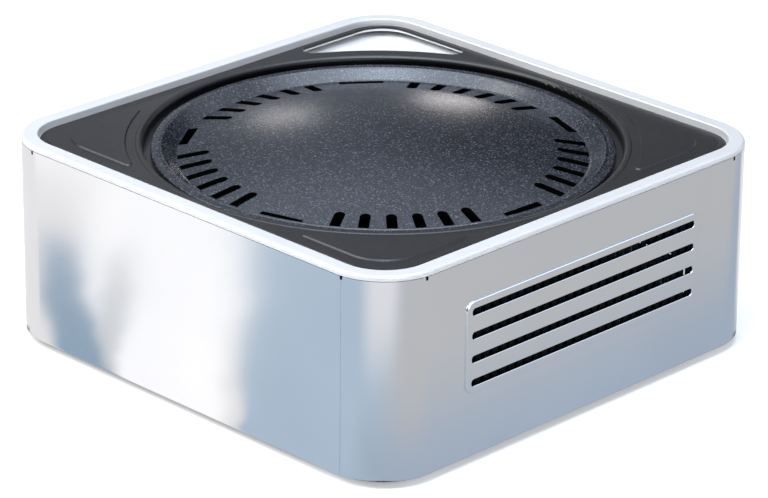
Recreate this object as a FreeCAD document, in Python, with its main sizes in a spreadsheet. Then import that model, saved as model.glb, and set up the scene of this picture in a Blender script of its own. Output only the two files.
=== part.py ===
import FreeCAD, Part
import math
import os
import re

import Sketcher

# Portable charcoal grill. Origin on the table under the middle of the housing, +Z up,
# the plain front wall faces -Y, the vented walls face +X and -X, the drawer opens to +Y.

doc = FreeCAD.newDocument("charcoal_grill")
sheet = doc.addObject("Spreadsheet::Sheet", "sizes")

sizes = (
    # housing wrap
    ("side_length", 330, "outside width and depth of the housing"),
    ("housing_height", 126.3, "from the housing's lower edge to the top of the rim"),
    ("corner_radius", 38.5, "outside corner radius of the housing"),
    ("shell_sheet", 1.2, "sheet of the housing wrap"),
    ("foot_height", 4, "table to the housing's lower edge"),
    ("bottom_flange", 13.2, "width of the inward flange at the wrap's foot"),
    ("bottom_rounding", 1.5, "rounding of the wrap's lower edge"),
    ("top_flange", 7.8, "width of the inward flange at the wrap's top"),
    ("seam_from_side", 34, "weld seam and relief notches, from the side wall"),
    ("seam_width", 0.4, "weld seam groove"),
    ("seam_depth", 0.65, "weld seam groove"),
    ("notch_width", 1.7, "relief notch under the rim"),
    ("notch_height", 2.2, "relief notch under the rim"),
    # rim
    ("rim_width", 10, "flat top of the rim"),
    ("rim_sheet", 1.2, "sheet of the rim"),
    ("rim_skirt", 3, "visible outer face of the rim"),
    ("rim_rounding", 2, "outer top edge of the rim"),
    ("rim_inner_rounding", 0.8, "inner top edge of the rim"),
    ("rim_seam", 0.3, "shadow gap between rim and wrap"),
    ("rim_ledge", 5, "ledge that carries the tray"),
    ("rim_screw_place", 90, "rim screws, from the middle of each wall"),
    ("rim_screw_inset", 5, "rim screws, from the outside of the wall"),
    ("rim_boss_radius", 2.6, "weld boss under the rim"),
    # vents
    ("vent_side_margin", 65.5, "embossed panel, from the side of the housing"),
    ("vent_top_margin", 29, "embossed panel, from the top of the rim"),
    ("vent_bottom_margin", 40.3, "embossed panel, from the housing's lower edge"),
    ("vent_corner", 6, "corner radius of the embossed panel"),
    ("vent_rise", 1.3, "how far the panel stands out of the wall"),
    ("vent_edge", 1, "rounding of the panel's edges"),
    ("vent_slot_inset", 4.5, "end of a slot, from the end of the panel"),
    ("vent_slot_height", 4.2, "slot, height"),
    ("vent_slot_margin", 6.6, "middle of the first slot, from the panel's edge"),
    ("vent_slot_count", 4, "slots in each vented wall"),
    ("vent_slot_end", 1.9, "rounding of a slot's ends"),
    ("vent_slot_edge", 0.7, "rounding of a slot's edges"),
    ("screen_sheet", 1, "sheet of the vent screen"),
    ("screen_margin", 7, "screen beyond the slots' length and the panel's height"),
    ("screen_corner", 3, "corner radius of the screen"),
    ("screen_slit_width", 3, "slit in the screen"),
    ("screen_slit_columns", 27, "slit columns"),
    ("screen_slit_inset", 4, "slits, from the slots' ends and from the panel's edge"),
    ("screen_web", 5, "sheet between the two rows of slits"),
    ("stud_radius", 1.5, "weld stud that holds the screen"),
    ("stud_length", 4, "weld stud, inward from the wall"),
    ("stud_clearance", 0.15, "radial clearance around small studs and screws"),
    ("stud_inset", 4.8, "weld stud, from the screen's edges"),
    ("stud_nut_radius", 4, "push-on nut"),
    ("stud_nut_sheet", 0.8, "push-on nut"),
    # top tray
    ("tray_sheet", 1.2, "sheet of the tray"),
    ("tray_recess", 3.2, "top of the rim down to the tray's deck"),
    ("tray_gap", 1, "tray edge to the rim's inner wall"),
    ("tray_step", 0.8, "the tray's outer band lies this much under its deck"),
    ("tray_band", 4, "width of the outer band"),
    ("tray_edge_rounding", 0.5, "rounding of the tray's outer edge"),
    ("deck_bevel", 0.56, "bevel of the deck's edge"),
    ("panel_margin", 13.2, "embossed panel, from the tray's edge"),
    ("panel_rise", 0.8, "embossed panel above the deck"),
    ("panel_bevel", 45, "slope of the panel's sides, degrees"),
    ("panel_corner", 26, "outer corner of an embossed panel"),
    ("panel_tip", 3, "rounding of a panel's two tips"),
    ("panel_web", 10.1, "embossed panel, from the well's wall"),
    ("opening_margin", 4.4, "finger opening, from the tray's edge"),
    ("opening_corner", 20, "outer corner of the finger opening"),
    ("opening_tip", 7, "rounding of the opening's two tips"),
    ("opening_web", 12.3, "finger opening, from the well's wall"),
    ("well_margin", 9.9, "wall of the round well, from the tray's edge"),
    ("well_rounding", 2.8, "deck into well"),
    ("lip_width", 1.5, "flat of the raised lip around the well"),
    ("lip_rise", 0.4, "raised lip above the deck"),
    ("lip_slope", 0.8, "width of the lip's outer slope"),
    ("plate_recess", 3.2, "deck down to the top of the grill plate's flange"),
    ("ledge_width", 12.1, "ledge that carries the grill plate"),
    ("channel_depth", 20.9, "ledge down to the drip channel's floor"),
    ("channel_width", 34, "drip channel, from its outer wall to the fire opening"),
    ("collar_height", 12, "collar above the drip channel's floor"),
    # grill plate
    ("plate_thickness", 3, "grill plate"),
    ("plate_gap", 4.2, "well wall to the plate's flange"),
    ("ridge_inset", 6.1, "middle of the raised ridge, from the plate's edge"),
    ("ridge_width", 1.8, "raised ridge"),
    ("ridge_rise", 0.5, "raised ridge"),
    ("plate_wall_width", 9.2, "sloping wall between the ridge and the dome"),
    ("dome_radius", 660, "sphere that the dome is part of"),
    ("dome_drop", 0.5, "top of the rim down to the crown of the dome"),
    ("plate_lean", 0.45, "offset of the wall's underside as a share of the thickness"),
    ("plate_edge_rounding", 1, "rounding of the flange's edge"),
    ("slot_width", 6.5, "radial slot"),
    ("slot_length", 19.3, "radial slot"),
    ("slot_margin", 0.7, "outer end of the slots, from the foot of the dome"),
    ("slot_step", 8, "radial slot to radial slot, degrees"),
    ("slots_in_group", 6, "radial slots in a group"),
    ("slot_groups", 5, "groups around the plate"),
    ("slot_turn", -38.6, "middle of the first group, degrees from +X"),
    ("bar_slot_length", 28, "tangential slot"),
    ("bar_slot_width", 6, "tangential slot"),
    # base and feet
    ("base_sheet", 1.2, "base plate"),
    ("base_gap", 0.5, "base plate to the wrap's inside"),
    ("air_slot_length", 60, "air slot in the base plate"),
    ("air_slot_width", 5, "air slot in the base plate"),
    ("air_slot_pitch", 12, "air slot to air slot"),
    ("air_slot_rows", 2, "air slots in each bank"),
    ("air_slot_inset", 29.8, "middle of a bank, from the inside of the wall"),
    ("foot_inset", 39, "feet, from the outside of the walls"),
    ("foot_radius", 10, "rubber foot"),
    ("foot_taper", 1, "how much narrower the foot is at the table"),
    ("foot_bore_radius", 4.2, "recess for the screw head in the foot"),
    ("foot_web", 1.6, "rubber above the screw head"),
    ("screw_radius", 2, "M4 screw"),
    ("screw_head_radius", 3.5, "M4 pan head"),
    ("screw_head_height", 2, "M4 pan head"),
    ("nut_radius", 4, "M4 nut, across its corners"),
    ("nut_height", 2.4, "M4 nut"),
    ("base_screw_place", 60, "base screws, from the middle of each wall"),
    ("base_screw_inset", 9.5, "base screws, from the outside of the wall"),
    ("base_screw_tip", 0.8, "base screw above what it holds"),
    ("foot_screw_tip", 1, "foot screw above its nut"),
    ("rim_screw_radius", 1.45, "M3 rim screw"),
    ("rim_screw_head_radius", 2.8, "M3 pan head"),
    ("rim_screw_head_height", 1.6, "M3 pan head"),
    ("rim_screw_room", 0.3, "rim screw's tip to the rim's top sheet"),
    ("head_rounding", 0.45, "rounding of a screw head as a share of its height"),
    ("round_end", 0.49, "rounding of a slot's end as a share of its width"),
    # hearth, heat shield and runners
    ("hearth_sheet", 1.2, "sheet of the hearth, the shield and the runners"),
    ("hearth_level", 34.5, "top of the hearth above the table"),
    ("hearth_foot", 11, "foot of the hearth's legs"),
    ("hearth_gap", 2.8, "hearth's foot to the wall"),
    ("hearth_end_gap", 43.8, "ends of the hearth, from the inside of the wall"),
    ("shield_inset", 22.8, "outside of the heat shield, from the drip channel's outer wall"),
    ("shield_flange", 9, "flange at the shield's foot"),
    ("shield_gap", 1.5, "shield to the underside of the drip channel"),
    ("shield_hole_radius", 5, "air hole in the shield"),
    ("shield_hole_rise", 14, "air holes above the hearth"),
    ("shield_hole_count", 20, "air holes in the shield"),
    ("rivet_radius", 1.6, "rivet shank"),
    ("rivet_head_radius", 3, "rivet head"),
    ("rivet_head_height", 1, "rivet head"),
    ("rivet_flat", 0.7, "flat top of a rivet head as a share of its radius"),
    ("rivet_brim", 0.4, "edge of a rivet head as a share of its height"),
    # fire bowl and grate
    ("bowl_inset", 12, "outside of the fire bowl's wall, from the fire opening"),
    ("bowl_wall", 2, "wall of the fire bowl"),
    ("bowl_gap", 9.3, "fire bowl's rim to the underside of the drip channel"),
    ("bowl_rim", 2.4, "rolled rim beyond the bowl's wall"),
    ("bowl_seat", 17, "ledge of the hearth that carries the bowl, around the ash hole"),
    ("bowl_floor_hole_radius", 6, "air holes in the bowl's floor"),
    ("bowl_floor_hole_place", 46, "air holes in the bowl's floor, from its middle"),
    ("bowl_floor_hole_count", 8, "air holes in the bowl's floor"),
    ("bowl_side_hole_radius", 4, "air holes in the bowl's wall"),
    ("bowl_side_hole_rise", 34, "air holes in the bowl's wall, above the hearth"),
    ("bowl_side_hole_count", 12, "air holes in the bowl's wall"),
    ("grate_rise", 15.5, "underside of the grate above the hearth"),
    ("grate_thickness", 3, "charcoal grate"),
    ("grate_clearance", 1, "grate edge to the bowl"),
    ("grate_leg_radius", 3, "leg of the grate"),
    ("grate_slot_width", 8, "slot in the grate"),
    ("grate_slot_inner", 26, "inner end of the grate's slots"),
    ("grate_slot_margin", 9, "outer end of the grate's slots, from its edge"),
    ("grate_slot_count", 16, "slots in the grate"),
    ("grate_hole_radius", 8, "hole in the middle of the grate"),
    # ash drawer
    ("drawer_inset", 71, "side of the drawer's tray, from the outside of the housing"),
    ("drawer_sheet", 1, "sheet of the drawer's tray"),
    ("drawer_lift", 3.1, "base plate to the drawer's underside"),
    ("drawer_height", 19.5, "drawer's tray"),
    ("drawer_play", 8, "runners reach this far past the drawer's inner end"),
    ("drawer_pocket", 24, "room for the fingers behind the drawer front"),
    ("drawer_flange", 7, "flanges that ride on the runners"),
    ("front_margin", 7.5, "drawer front beyond the drawer's tray, each side"),
    ("front_sheet", 1.2, "drawer front"),
    ("front_rise", 2.5, "drawer front above the drawer's tray"),
    ("front_gap", 1, "gap around the drawer front"),
    ("front_corner", 2, "corner radius of the drawer front"),
    ("finger_length", 72, "finger slot in the drawer front"),
    ("finger_height", 11, "finger slot in the drawer front"),
    ("front_stud_inset", 14, "weld studs of the drawer front, from the side of the tray"),
    ("front_stud_length", 3.2, "weld stud of the drawer front"),
    ("drawer_setback", 3, "drawer flanges end this much inside the wall"),
    ("runner_clearance", 0.3, "drawer flange above the runner"),
    ("runner_side_gap", 3.5, "drawer flange to the runner's web"),
    ("runner_leg", 8.5, "inward leg of the runner"),
    ("runner_top", 11, "outward flange of the runner"),
    ("runner_inset", 12, "ends of the runners, from the hearth's ends"),
    ("runner_rivet_inset", 23, "runner rivets, from the ends of the runners"),
    # corner gussets
    ("gusset_sheet", 1.2, "corner gusset"),
    ("gusset_drop", 5, "tray's band down to the gusset"),
    ("gusset_length", 95, "gusset along each wall, from the corner"),
    ("gusset_lip", 10, "gusset's folded edges"),
    ("gusset_gap", 4, "gusset to the tray's well"),
    ("gusset_ease", 5, "the gusset's corner is rounder than the wall's by this radius"),
)

for row, (alias, value, note) in enumerate(sizes, start=1):
    sheet.set("A%d" % row, alias)
    sheet.set("B%d" % row, str(value))
    sheet.setAlias("B%d" % row, alias)
    sheet.set("C%d" % row, note)
doc.recompute()

# Places that several pieces share, written once in terms of the sheet.
places = {
    "half": "side_length / 2",
    "rim_top": "foot_height + housing_height",
    "wrap_top": "rim_top - rim_skirt - rim_seam",
    "wall_inside": "half - shell_sheet",
    "wall_radius": "corner_radius - shell_sheet",
    "rim_inside": "half - rim_width",
    "rim_inside_radius": "corner_radius - rim_width",
    "deck_top": "rim_top - tray_recess",
    "band_top": "deck_top - tray_step",
    "band_bottom": "band_top - tray_sheet",
    "tray_half": "rim_inside - tray_gap",
    "tray_radius": "rim_inside_radius - tray_gap",
    "well_radius": "tray_half - well_margin",
    "deck_half": "tray_half - tray_band",
    "deck_radius": "tray_radius - tray_band",
    "flange_top": "deck_top - plate_recess",
    "ledge_top": "flange_top - plate_thickness",
    "ledge_radius": "well_radius - ledge_width",
    "collar_radius": "ledge_radius - channel_width",
    "channel_floor": "ledge_top - channel_depth",
    "channel_bottom": "channel_floor - tray_sheet",
    "collar_top": "channel_floor + collar_height",
    "crown": "rim_top - dome_drop",
    "plate_radius": "well_radius - plate_gap",
    "ridge_radius": "plate_radius - ridge_inset",
    "ridge_inside": "ridge_radius - ridge_width / 2",
    "dome_foot_radius": "ridge_radius - plate_wall_width",
    "slot_outer_radius": "dome_foot_radius - slot_margin",
    "slot_inner_radius": "slot_outer_radius - slot_length",
    "dome_foot": "crown - dome_radius + sqrt(dome_radius ^ 2 - dome_foot_radius ^ 2)",
    "vent_half": "half - vent_side_margin",
    "vent_reach": "(housing_height - vent_top_margin - vent_bottom_margin) / 2",
    "vent_middle": "foot_height + vent_bottom_margin + vent_reach",
    "vent_slot_half": "vent_half - vent_slot_inset",
    "vent_slot_pitch": "2 * (vent_reach - vent_slot_margin) / (vent_slot_count - 1)",
    "screen_half": "vent_slot_half + screen_margin",
    "screen_rise": "vent_reach + screen_margin",
    "screen_slit_half": "vent_slot_half - screen_slit_inset",
    "screen_slit_height": "vent_reach - screen_slit_inset - screen_web / 2",
    "screen_row_place": "(screen_slit_height + screen_web) / 2",
    "stud_hole": "stud_radius + stud_clearance",
    "thread_gap": "stud_clearance / 3",
    "flange_inside": "foot_height + shell_sheet",
    "base_top": "flange_inside + base_sheet",
    "base_half": "wall_inside - base_gap",
    "base_radius": "wall_radius - base_gap",
    "screw_line": "half - base_screw_inset",
    "foot_place": "half - foot_inset",
    "air_slot_place": "wall_inside - air_slot_inset",
    "hearth_half": "wall_inside - hearth_gap - hearth_foot",
    "hearth_leg_half": "wall_inside - hearth_end_gap",
    "hearth_under": "hearth_level - hearth_sheet",
    "hearth_foot_top": "base_top + hearth_sheet",
    "shield_radius": "ledge_radius - shield_inset",
    "shield_top": "channel_bottom - shield_gap",
    "bowl_radius": "collar_radius - bowl_inset",
    "bowl_inside": "bowl_radius - bowl_wall",
    "bowl_top": "channel_bottom - bowl_gap",
    "bowl_floor_top": "hearth_level + bowl_wall",
    "ash_hole_radius": "bowl_radius - bowl_seat",
    "grate_bottom": "hearth_level + grate_rise",
    "grate_radius": "bowl_inside - grate_clearance",
    "grate_slot_outer": "grate_radius - grate_slot_margin",
    "drawer_half": "half - drawer_inset",
    "drawer_bottom": "base_top + drawer_lift",
    "drawer_top": "drawer_bottom + drawer_height",
    "front_half": "drawer_half + front_margin",
    "front_stud_place": "drawer_half - front_stud_inset",
    "front_bottom": "drawer_bottom - front_gap / 2",
    "front_top": "drawer_top + front_rise",
    "drawer_face": "half - front_sheet",
    "drawer_middle": "(drawer_bottom + drawer_top) / 2",
    "runner_level": "drawer_top - drawer_sheet - runner_clearance",
    "runner_web": "drawer_half + drawer_flange + runner_side_gap",
    "runner_half": "hearth_leg_half - runner_inset",
    "drawer_back": "runner_half - drawer_play",
    "runner_rivet_place": "runner_half - runner_rivet_inset",
    "runner_rivet_line": "runner_web + hearth_sheet + runner_top / 2",
    "gusset_level": "band_bottom - gusset_drop",
    "gusset_arc": "well_radius + tray_sheet + gusset_gap",
    "gusset_end": "wall_inside - gusset_length",
    "shield_rivet_line": "shield_radius + shield_flange / 2",
    "screw_hole": "screw_radius + stud_clearance",
    "rivet_hole": "rivet_radius + thread_gap",
}
aliases = {alias for alias, value, note in sizes}


def bound(expression):
    """Expression over the sheet's cells, with every shared place written out."""
    def swap(match):
        word = match.group(0)
        if word in places:
            return "(" + bound(places[word]) + ")"
        return "sizes." + word if word in aliases else word
    return re.sub(r"[a-z_]+[a-z0-9_]*", swap, expression)


def number(expression):
    """Present value of an expression."""
    return float(sheet.evalExpression(bound(expression)))


def link(thing, field, expression):
    """Tie one property of a document object to an expression."""
    thing.setExpression(field, bound(expression))


def minus(expression):
    return "-(" + expression + ")"


# Bodies, sketches and features

bodies = []
slack = 0.01


def new_body(label):
    body = doc.addObject("PartDesign::Body", label)
    body.Label = label
    bodies.append(body)
    return body


def datum(body, role):
    return next(item for item in body.Origin.OriginFeatures if item.Role == role)


def new_sketch(body, role, level="0"):
    """Sketch on one of the body's own planes, moved along the plane's normal."""
    sketch = body.newObject("Sketcher::SketchObject", body.Label + "_sketch")
    sketch.AttachmentSupport = [(datum(body, role), "")]
    sketch.MapMode = "FlatFace"
    if level != "0":
        link(sketch, "AttachmentOffset.Base.z", level)
    return sketch


def fix_point(sketch, piece, end, across, up):
    """Hold one point of the sketch at two expressions."""
    for kind, axis, expression in (("DistanceX", -2, across), ("DistanceY", -1, up)):
        value = number(expression)
        if abs(value) < 1e-9:
            sketch.addConstraint(Sketcher.Constraint("PointOnObject", piece, end, axis))
        else:
            index = sketch.addConstraint(Sketcher.Constraint(kind, -1, 1, piece, end, value))
            link(sketch, "Constraints[%d]" % index, expression)


def arc_through(start, finish, radius, side):
    """Minor arc between two points, its centre left (+1) or right (-1) of the way."""
    chord = finish.sub(start)
    middle = (start + finish) * 0.5
    rise = math.sqrt(max(radius ** 2 - (chord.Length / 2) ** 2, 0))
    centre = middle + FreeCAD.Vector(-chord.y, chord.x, 0).normalize() * side * rise
    low, high = (start, finish) if side > 0 else (finish, start)
    turns = [math.atan2(spot.y - centre.y, spot.x - centre.x) for spot in (low, high)]
    if turns[1] < turns[0]:
        turns[1] += 2 * math.pi
    return Part.ArcOfCircle(Part.Circle(centre, FreeCAD.Vector(0, 0, 1), radius), *turns)


def draw(sketch, corners):
    """Closed outline. A corner is (across, up), or (across, up, radius, side) where
    an arc of that radius leads to it."""
    spots = [FreeCAD.Vector(number(c[0]), number(c[1]), 0) for c in corners]
    pieces = []
    for index, corner in enumerate(corners):
        start = spots[index - 1]
        finish = spots[index]
        if len(corner) == 2:
            pieces.append(sketch.addGeometry(Part.LineSegment(start, finish), False))
        else:
            pieces.append(sketch.addGeometry(arc_through(start, finish, number(corner[2]), corner[3]), False))
    ends = [(2, 1) if len(corner) > 2 and corner[3] < 0 else (1, 2) for corner in corners]
    for index, corner in enumerate(corners):
        following = (index + 1) % len(corners)
        sketch.addConstraint(Sketcher.Constraint(
            "Coincident", pieces[index], ends[index][1], pieces[following], ends[following][0]))
        fix_point(sketch, pieces[index], ends[index][1], corner[0], corner[1])
        if len(corner) > 2:
            place = sketch.addConstraint(Sketcher.Constraint("Radius", pieces[index], number(corner[2])))
            link(sketch, "Constraints[%d]" % place, corner[2])


def draw_rounded(sketch, half_across, half_up, radius, across="0", up="0"):
    """Rounded rectangle about a middle point."""
    low_x = "(%s) - (%s)" % (across, half_across)
    high_x = "(%s) + (%s)" % (across, half_across)
    low_y = "(%s) - (%s)" % (up, half_up)
    high_y = "(%s) + (%s)" % (up, half_up)
    near_x = low_x + " + (%s)" % radius
    far_x = high_x + " - (%s)" % radius
    near_y = low_y + " + (%s)" % radius
    far_y = high_y + " - (%s)" % radius
    draw(sketch, [
        (far_x, low_y), (high_x, near_y, radius, 1),
        (high_x, far_y), (far_x, high_y, radius, 1),
        (near_x, high_y), (low_x, far_y, radius, 1),
        (low_x, near_y), (near_x, low_y, radius, 1),
    ])


def draw_square(sketch, half, radius):
    draw_rounded(sketch, half, half, radius)


def draw_box(sketch, low_x, low_y, high_x, high_y):
    draw(sketch, [(high_x, low_y), (high_x, high_y), (low_x, high_y), (low_x, low_y)])


def draw_circle(sketch, radius, across="0", up="0"):
    middle = FreeCAD.Vector(number(across), number(up), 0)
    piece = sketch.addGeometry(Part.Circle(middle, FreeCAD.Vector(0, 0, 1), number(radius)), False)
    fix_point(sketch, piece, 3, across, up)
    index = sketch.addConstraint(Sketcher.Constraint("Radius", piece, number(radius)))
    link(sketch, "Constraints[%d]" % index, radius)


def pad(body, sketch, length, reverse=False):
    feature = body.newObject("PartDesign::Pad", body.Label + "_pad")
    feature.Profile = sketch
    feature.Reversed = reverse
    link(feature, "Length", length)
    return settle(body, feature)


def pocket(body, sketch, length=None, reverse=False):
    """Cut along the sketch's normal, backwards unless reversed; through all both ways without a length."""
    before = body.Tip.Shape.Volume
    feature = body.newObject("PartDesign::Pocket", body.Label + "_pocket")
    feature.Profile = sketch
    feature.Reversed = reverse
    if length is None:
        feature.Type = "ThroughAll"
        feature.Midplane = True
    else:
        link(feature, "Length", length)
    settle(body, feature)
    if feature.Shape.Volume > before - 1e-3:
        raise RuntimeError(body.Label + ": a pocket cut nothing")
    return feature


def revolve(body, sketch):
    feature = body.newObject("PartDesign::Revolution", body.Label + "_turned")
    feature.Profile = sketch
    feature.ReferenceAxis = (sketch, ["V_Axis"])
    feature.Angle = 360
    return settle(body, feature)


def polar(body, features, count, angle="360"):
    """Copies of features about the upright axis."""
    pattern = body.newObject("PartDesign::PolarPattern", body.Label + "_pattern")
    pattern.Originals = features
    pattern.Axis = (datum(body, "Z_Axis"), [""])
    link(pattern, "Angle", angle)
    link(pattern, "Occurrences", count)
    return settle(body, pattern)


def mirror(body, features, role="YZ_Plane"):
    copy = body.newObject("PartDesign::Mirrored", body.Label + "_mirror")
    copy.Originals = features
    copy.MirrorPlane = (datum(body, role), [""])
    return settle(body, copy)


def settle(body, feature):
    body.Tip = feature
    doc.recompute()
    if "Invalid" in feature.State or "Error" in feature.State or feature.Shape.isNull():
        raise RuntimeError(feature.Name + ": " + feature.getStatusString())
    return feature


def soften(body, feature, radius, wanted, kind="PartDesign::Fillet"):
    """Round or bevel the edges of a feature that a test picks out."""
    names = ["Edge%d" % (index + 1) for index, edge in enumerate(feature.Shape.Edges) if wanted(edge)]
    if not names:
        raise RuntimeError(body.Label + ": no edge to round")
    dressed = body.newObject(kind, body.Label + "_edge")
    dressed.Base = (feature, names)
    link(dressed, "Radius" if kind.endswith("Fillet") else "Size", radius)
    return settle(body, dressed)


def lies_at(edge, axis, level, slack=1e-4):
    """True for an edge that stays at one level along an axis (0 = X, 1 = Y, 2 = Z)."""
    return not edge.Degenerated and all(abs(spot[axis] - level) < slack for spot in edge.discretize(5))


def ring_pad(body, level, thickness, outer, outer_radius, inner, inner_radius):
    """Flat frame between two rounded squares."""
    sketch = new_sketch(body, "XY_Plane", level)
    draw_square(sketch, outer, outer_radius)
    draw_square(sketch, inner, inner_radius)
    return pad(body, sketch, thickness)


def quarter_turns(body, features):
    return polar(body, features, "4")


def housing_wrap():
    body = new_body("housing_wrap")
    outside = new_sketch(body, "XY_Plane", "foot_height")
    draw_square(outside, "half", "corner_radius")
    block = pad(body, outside, "wrap_top - foot_height")
    foot = number("foot_height")
    soften(body, block, "bottom_rounding", lambda edge: lies_at(edge, 2, foot))

    hollow = new_sketch(body, "XY_Plane", "flange_inside")
    draw_square(hollow, "wall_inside", "wall_radius")
    pocket(body, hollow, "wrap_top - 2 * shell_sheet - foot_height", reverse=True)
    for level, width in (("foot_height", "bottom_flange"), ("wrap_top - shell_sheet", "top_flange")):
        mouth = new_sketch(body, "XY_Plane", level)
        draw_square(mouth, "half - " + width, "corner_radius - " + width)
        pocket(body, mouth, "shell_sheet", reverse=True)

    panel = new_sketch(body, "YZ_Plane", "wall_inside + shell_sheet / 2")
    draw_rounded(panel, "vent_half", "vent_reach", "vent_corner", up="vent_middle")
    raised = pad(body, panel, "vent_rise + shell_sheet / 2")
    back = new_sketch(body, "YZ_Plane", "half + vent_rise - shell_sheet")
    draw_rounded(back, "vent_half - shell_sheet", "vent_reach - shell_sheet",
                 "vent_corner - shell_sheet", up="vent_middle")
    recess = pocket(body, back, "vent_rise")
    studs = new_sketch(body, "YZ_Plane", "wall_inside - stud_length")
    for across in ("screen_half - stud_inset", minus("screen_half - stud_inset")):
        for up in ("vent_middle + screen_rise - stud_inset",
                   "vent_middle - screen_rise + stud_inset"):
            draw_circle(studs, "stud_radius", across, up)
    pins = pad(body, studs, "stud_length + shell_sheet / 2")
    mirror(body, [raised, recess, pins])
    face = number("half + vent_rise")
    soften(body, body.Tip, "vent_edge", lambda edge: lies_at(edge, 0, face) or lies_at(edge, 0, -face))
    slots = new_sketch(body, "YZ_Plane")
    for index in range(int(number("vent_slot_count"))):
        level = "vent_middle + (%d - (vent_slot_count - 1) / 2) * vent_slot_pitch" % index
        draw_rounded(slots, "vent_slot_half", "vent_slot_height / 2", "vent_slot_end", up=level)
    pocket(body, slots)
    half_slot = number("vent_slot_half") + slack
    low = number("vent_middle - vent_reach + vent_edge") + slack
    high = number("vent_middle + vent_reach - vent_edge") - slack

    def slot_edge(edge):
        box = edge.BoundBox
        inside = max(abs(box.YMin), abs(box.YMax)) < half_slot
        return inside and low < box.ZMin and box.ZMax < high and (
            lies_at(edge, 0, face) or lies_at(edge, 0, -face))
    soften(body, body.Tip, "vent_slot_edge", slot_edge)

    reach = "half + shell_sheet"
    door = new_sketch(body, "XZ_Plane", minus(reach))
    draw_rounded(door, "front_half + front_gap", "(front_top - front_bottom) / 2 + front_gap",
                 "front_corner + front_gap", up="(front_top + front_bottom) / 2")
    pocket(body, door, "3 * shell_sheet", reverse=True)

    notches = new_sketch(body, "XY_Plane", "wrap_top")
    line = "half - seam_from_side"
    depth = "half - 2 * shell_sheet"
    wide = "notch_width / 2"
    draw_box(notches, line + " - " + wide, minus(reach), line + " + " + wide, minus(depth))
    draw_box(notches, depth, minus(line + " + " + wide), reach, minus(line + " - " + wide))
    cut = pocket(body, notches, "notch_height")
    quarter_turns(body, [cut])

    seam = new_sketch(body, "XY_Plane", "wrap_top + shell_sheet")
    draw_box(seam, line + " - seam_width / 2", minus(reach), line + " + seam_width / 2",
             minus("half - seam_depth"))
    pocket(body, seam, "wrap_top")

    holes = new_sketch(body, "XY_Plane", "foot_height")
    draw_base_screws(holes, "screw_hole")
    drilled = pocket(body, holes, "shell_sheet", reverse=True)
    quarter_turns(body, [drilled])
    holes = new_sketch(body, "XY_Plane", "wrap_top")
    draw_rim_screws(holes, "rim_screw_radius + stud_clearance")
    drilled = pocket(body, holes, "shell_sheet")
    quarter_turns(body, [drilled])


def draw_base_screws(sketch, radius):
    for up in ("base_screw_place", minus("base_screw_place")):
        draw_circle(sketch, radius, "screw_line", up)


def draw_rim_screws(sketch, radius):
    for up in ("rim_screw_place", minus("rim_screw_place")):
        draw_circle(sketch, radius, "half - rim_screw_inset", up)


def top_rim():
    body = new_body("top_rim")
    ring_pad(body, "rim_top - rim_sheet", "rim_sheet", "half", "corner_radius",
             "rim_inside", "rim_inside_radius")
    ring_pad(body, "rim_top - rim_skirt", "rim_skirt", "half", "corner_radius",
             "half - rim_sheet", "corner_radius - rim_sheet")
    ring_pad(body, "band_bottom - rim_sheet", "rim_top - band_bottom + rim_sheet",
             "rim_inside + rim_sheet", "rim_inside_radius + rim_sheet", "rim_inside", "rim_inside_radius")
    ring_pad(body, "band_bottom - rim_sheet", "rim_sheet",
             "rim_inside + rim_sheet / 2", "rim_inside_radius + rim_sheet / 2",
             "rim_inside - rim_ledge", "rim_inside_radius - rim_ledge")
    bosses = new_sketch(body, "XY_Plane", "wrap_top")
    draw_rim_screws(bosses, "rim_boss_radius")
    raised = pad(body, bosses, "rim_top - rim_sheet / 2 - wrap_top")
    bores = new_sketch(body, "XY_Plane", "wrap_top")
    draw_rim_screws(bores, "rim_screw_radius + thread_gap")
    bored = pocket(body, bores, "rim_top - rim_sheet - wrap_top", reverse=True)
    quarter_turns(body, [raised, bored])
    top = number("rim_top")
    outside = number("half") - slack
    inside = number("rim_inside") + slack

    def outer_edge(edge):
        box = edge.BoundBox
        return lies_at(edge, 2, top) and max(box.XMax, -box.XMin, box.YMax, -box.YMin) > outside

    def inner_edge(edge):
        box = edge.BoundBox
        return lies_at(edge, 2, top) and max(box.XMax, -box.XMin, box.YMax, -box.YMin) < inside
    soften(body, body.Tip, "rim_rounding", outer_edge)
    soften(body, body.Tip, "rim_inner_rounding", inner_edge)


def draw_corner(sketch, margin, corner, tip, arc, turned=False):
    """Outline in the front left corner (-X, -Y), or in the rear left one (-X, +Y): two lines
    at a distance from the middle, an arc about the middle, and three rounded corners."""
    line = "(%s)" % margin
    sweep = "(%s)" % arc
    inner = "(%s - %s)" % (line, tip)
    outer = "(%s + %s)" % (sweep, tip)
    along = "sqrt(%s ^ 2 - %s ^ 2)" % (outer, inner)
    touch = " * %s / %s" % (sweep, outer)
    bend = "(%s - %s)" % (line, corner)
    spots = [
        (line, along, tip, 1),
        (line, bend),
        (bend, line, corner, 1),
        (along, line),
        (along + touch, inner + touch, tip, 1),
        (inner + touch, along + touch, arc, -1),
    ]
    outline = []
    for spot in spots:
        up = spot[1] if turned else minus(spot[1])
        curve = (spot[2], -spot[3] if turned else spot[3]) if len(spot) > 2 else ()
        outline.append((minus(spot[0]), up) + curve)
    draw(sketch, outline)


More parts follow.
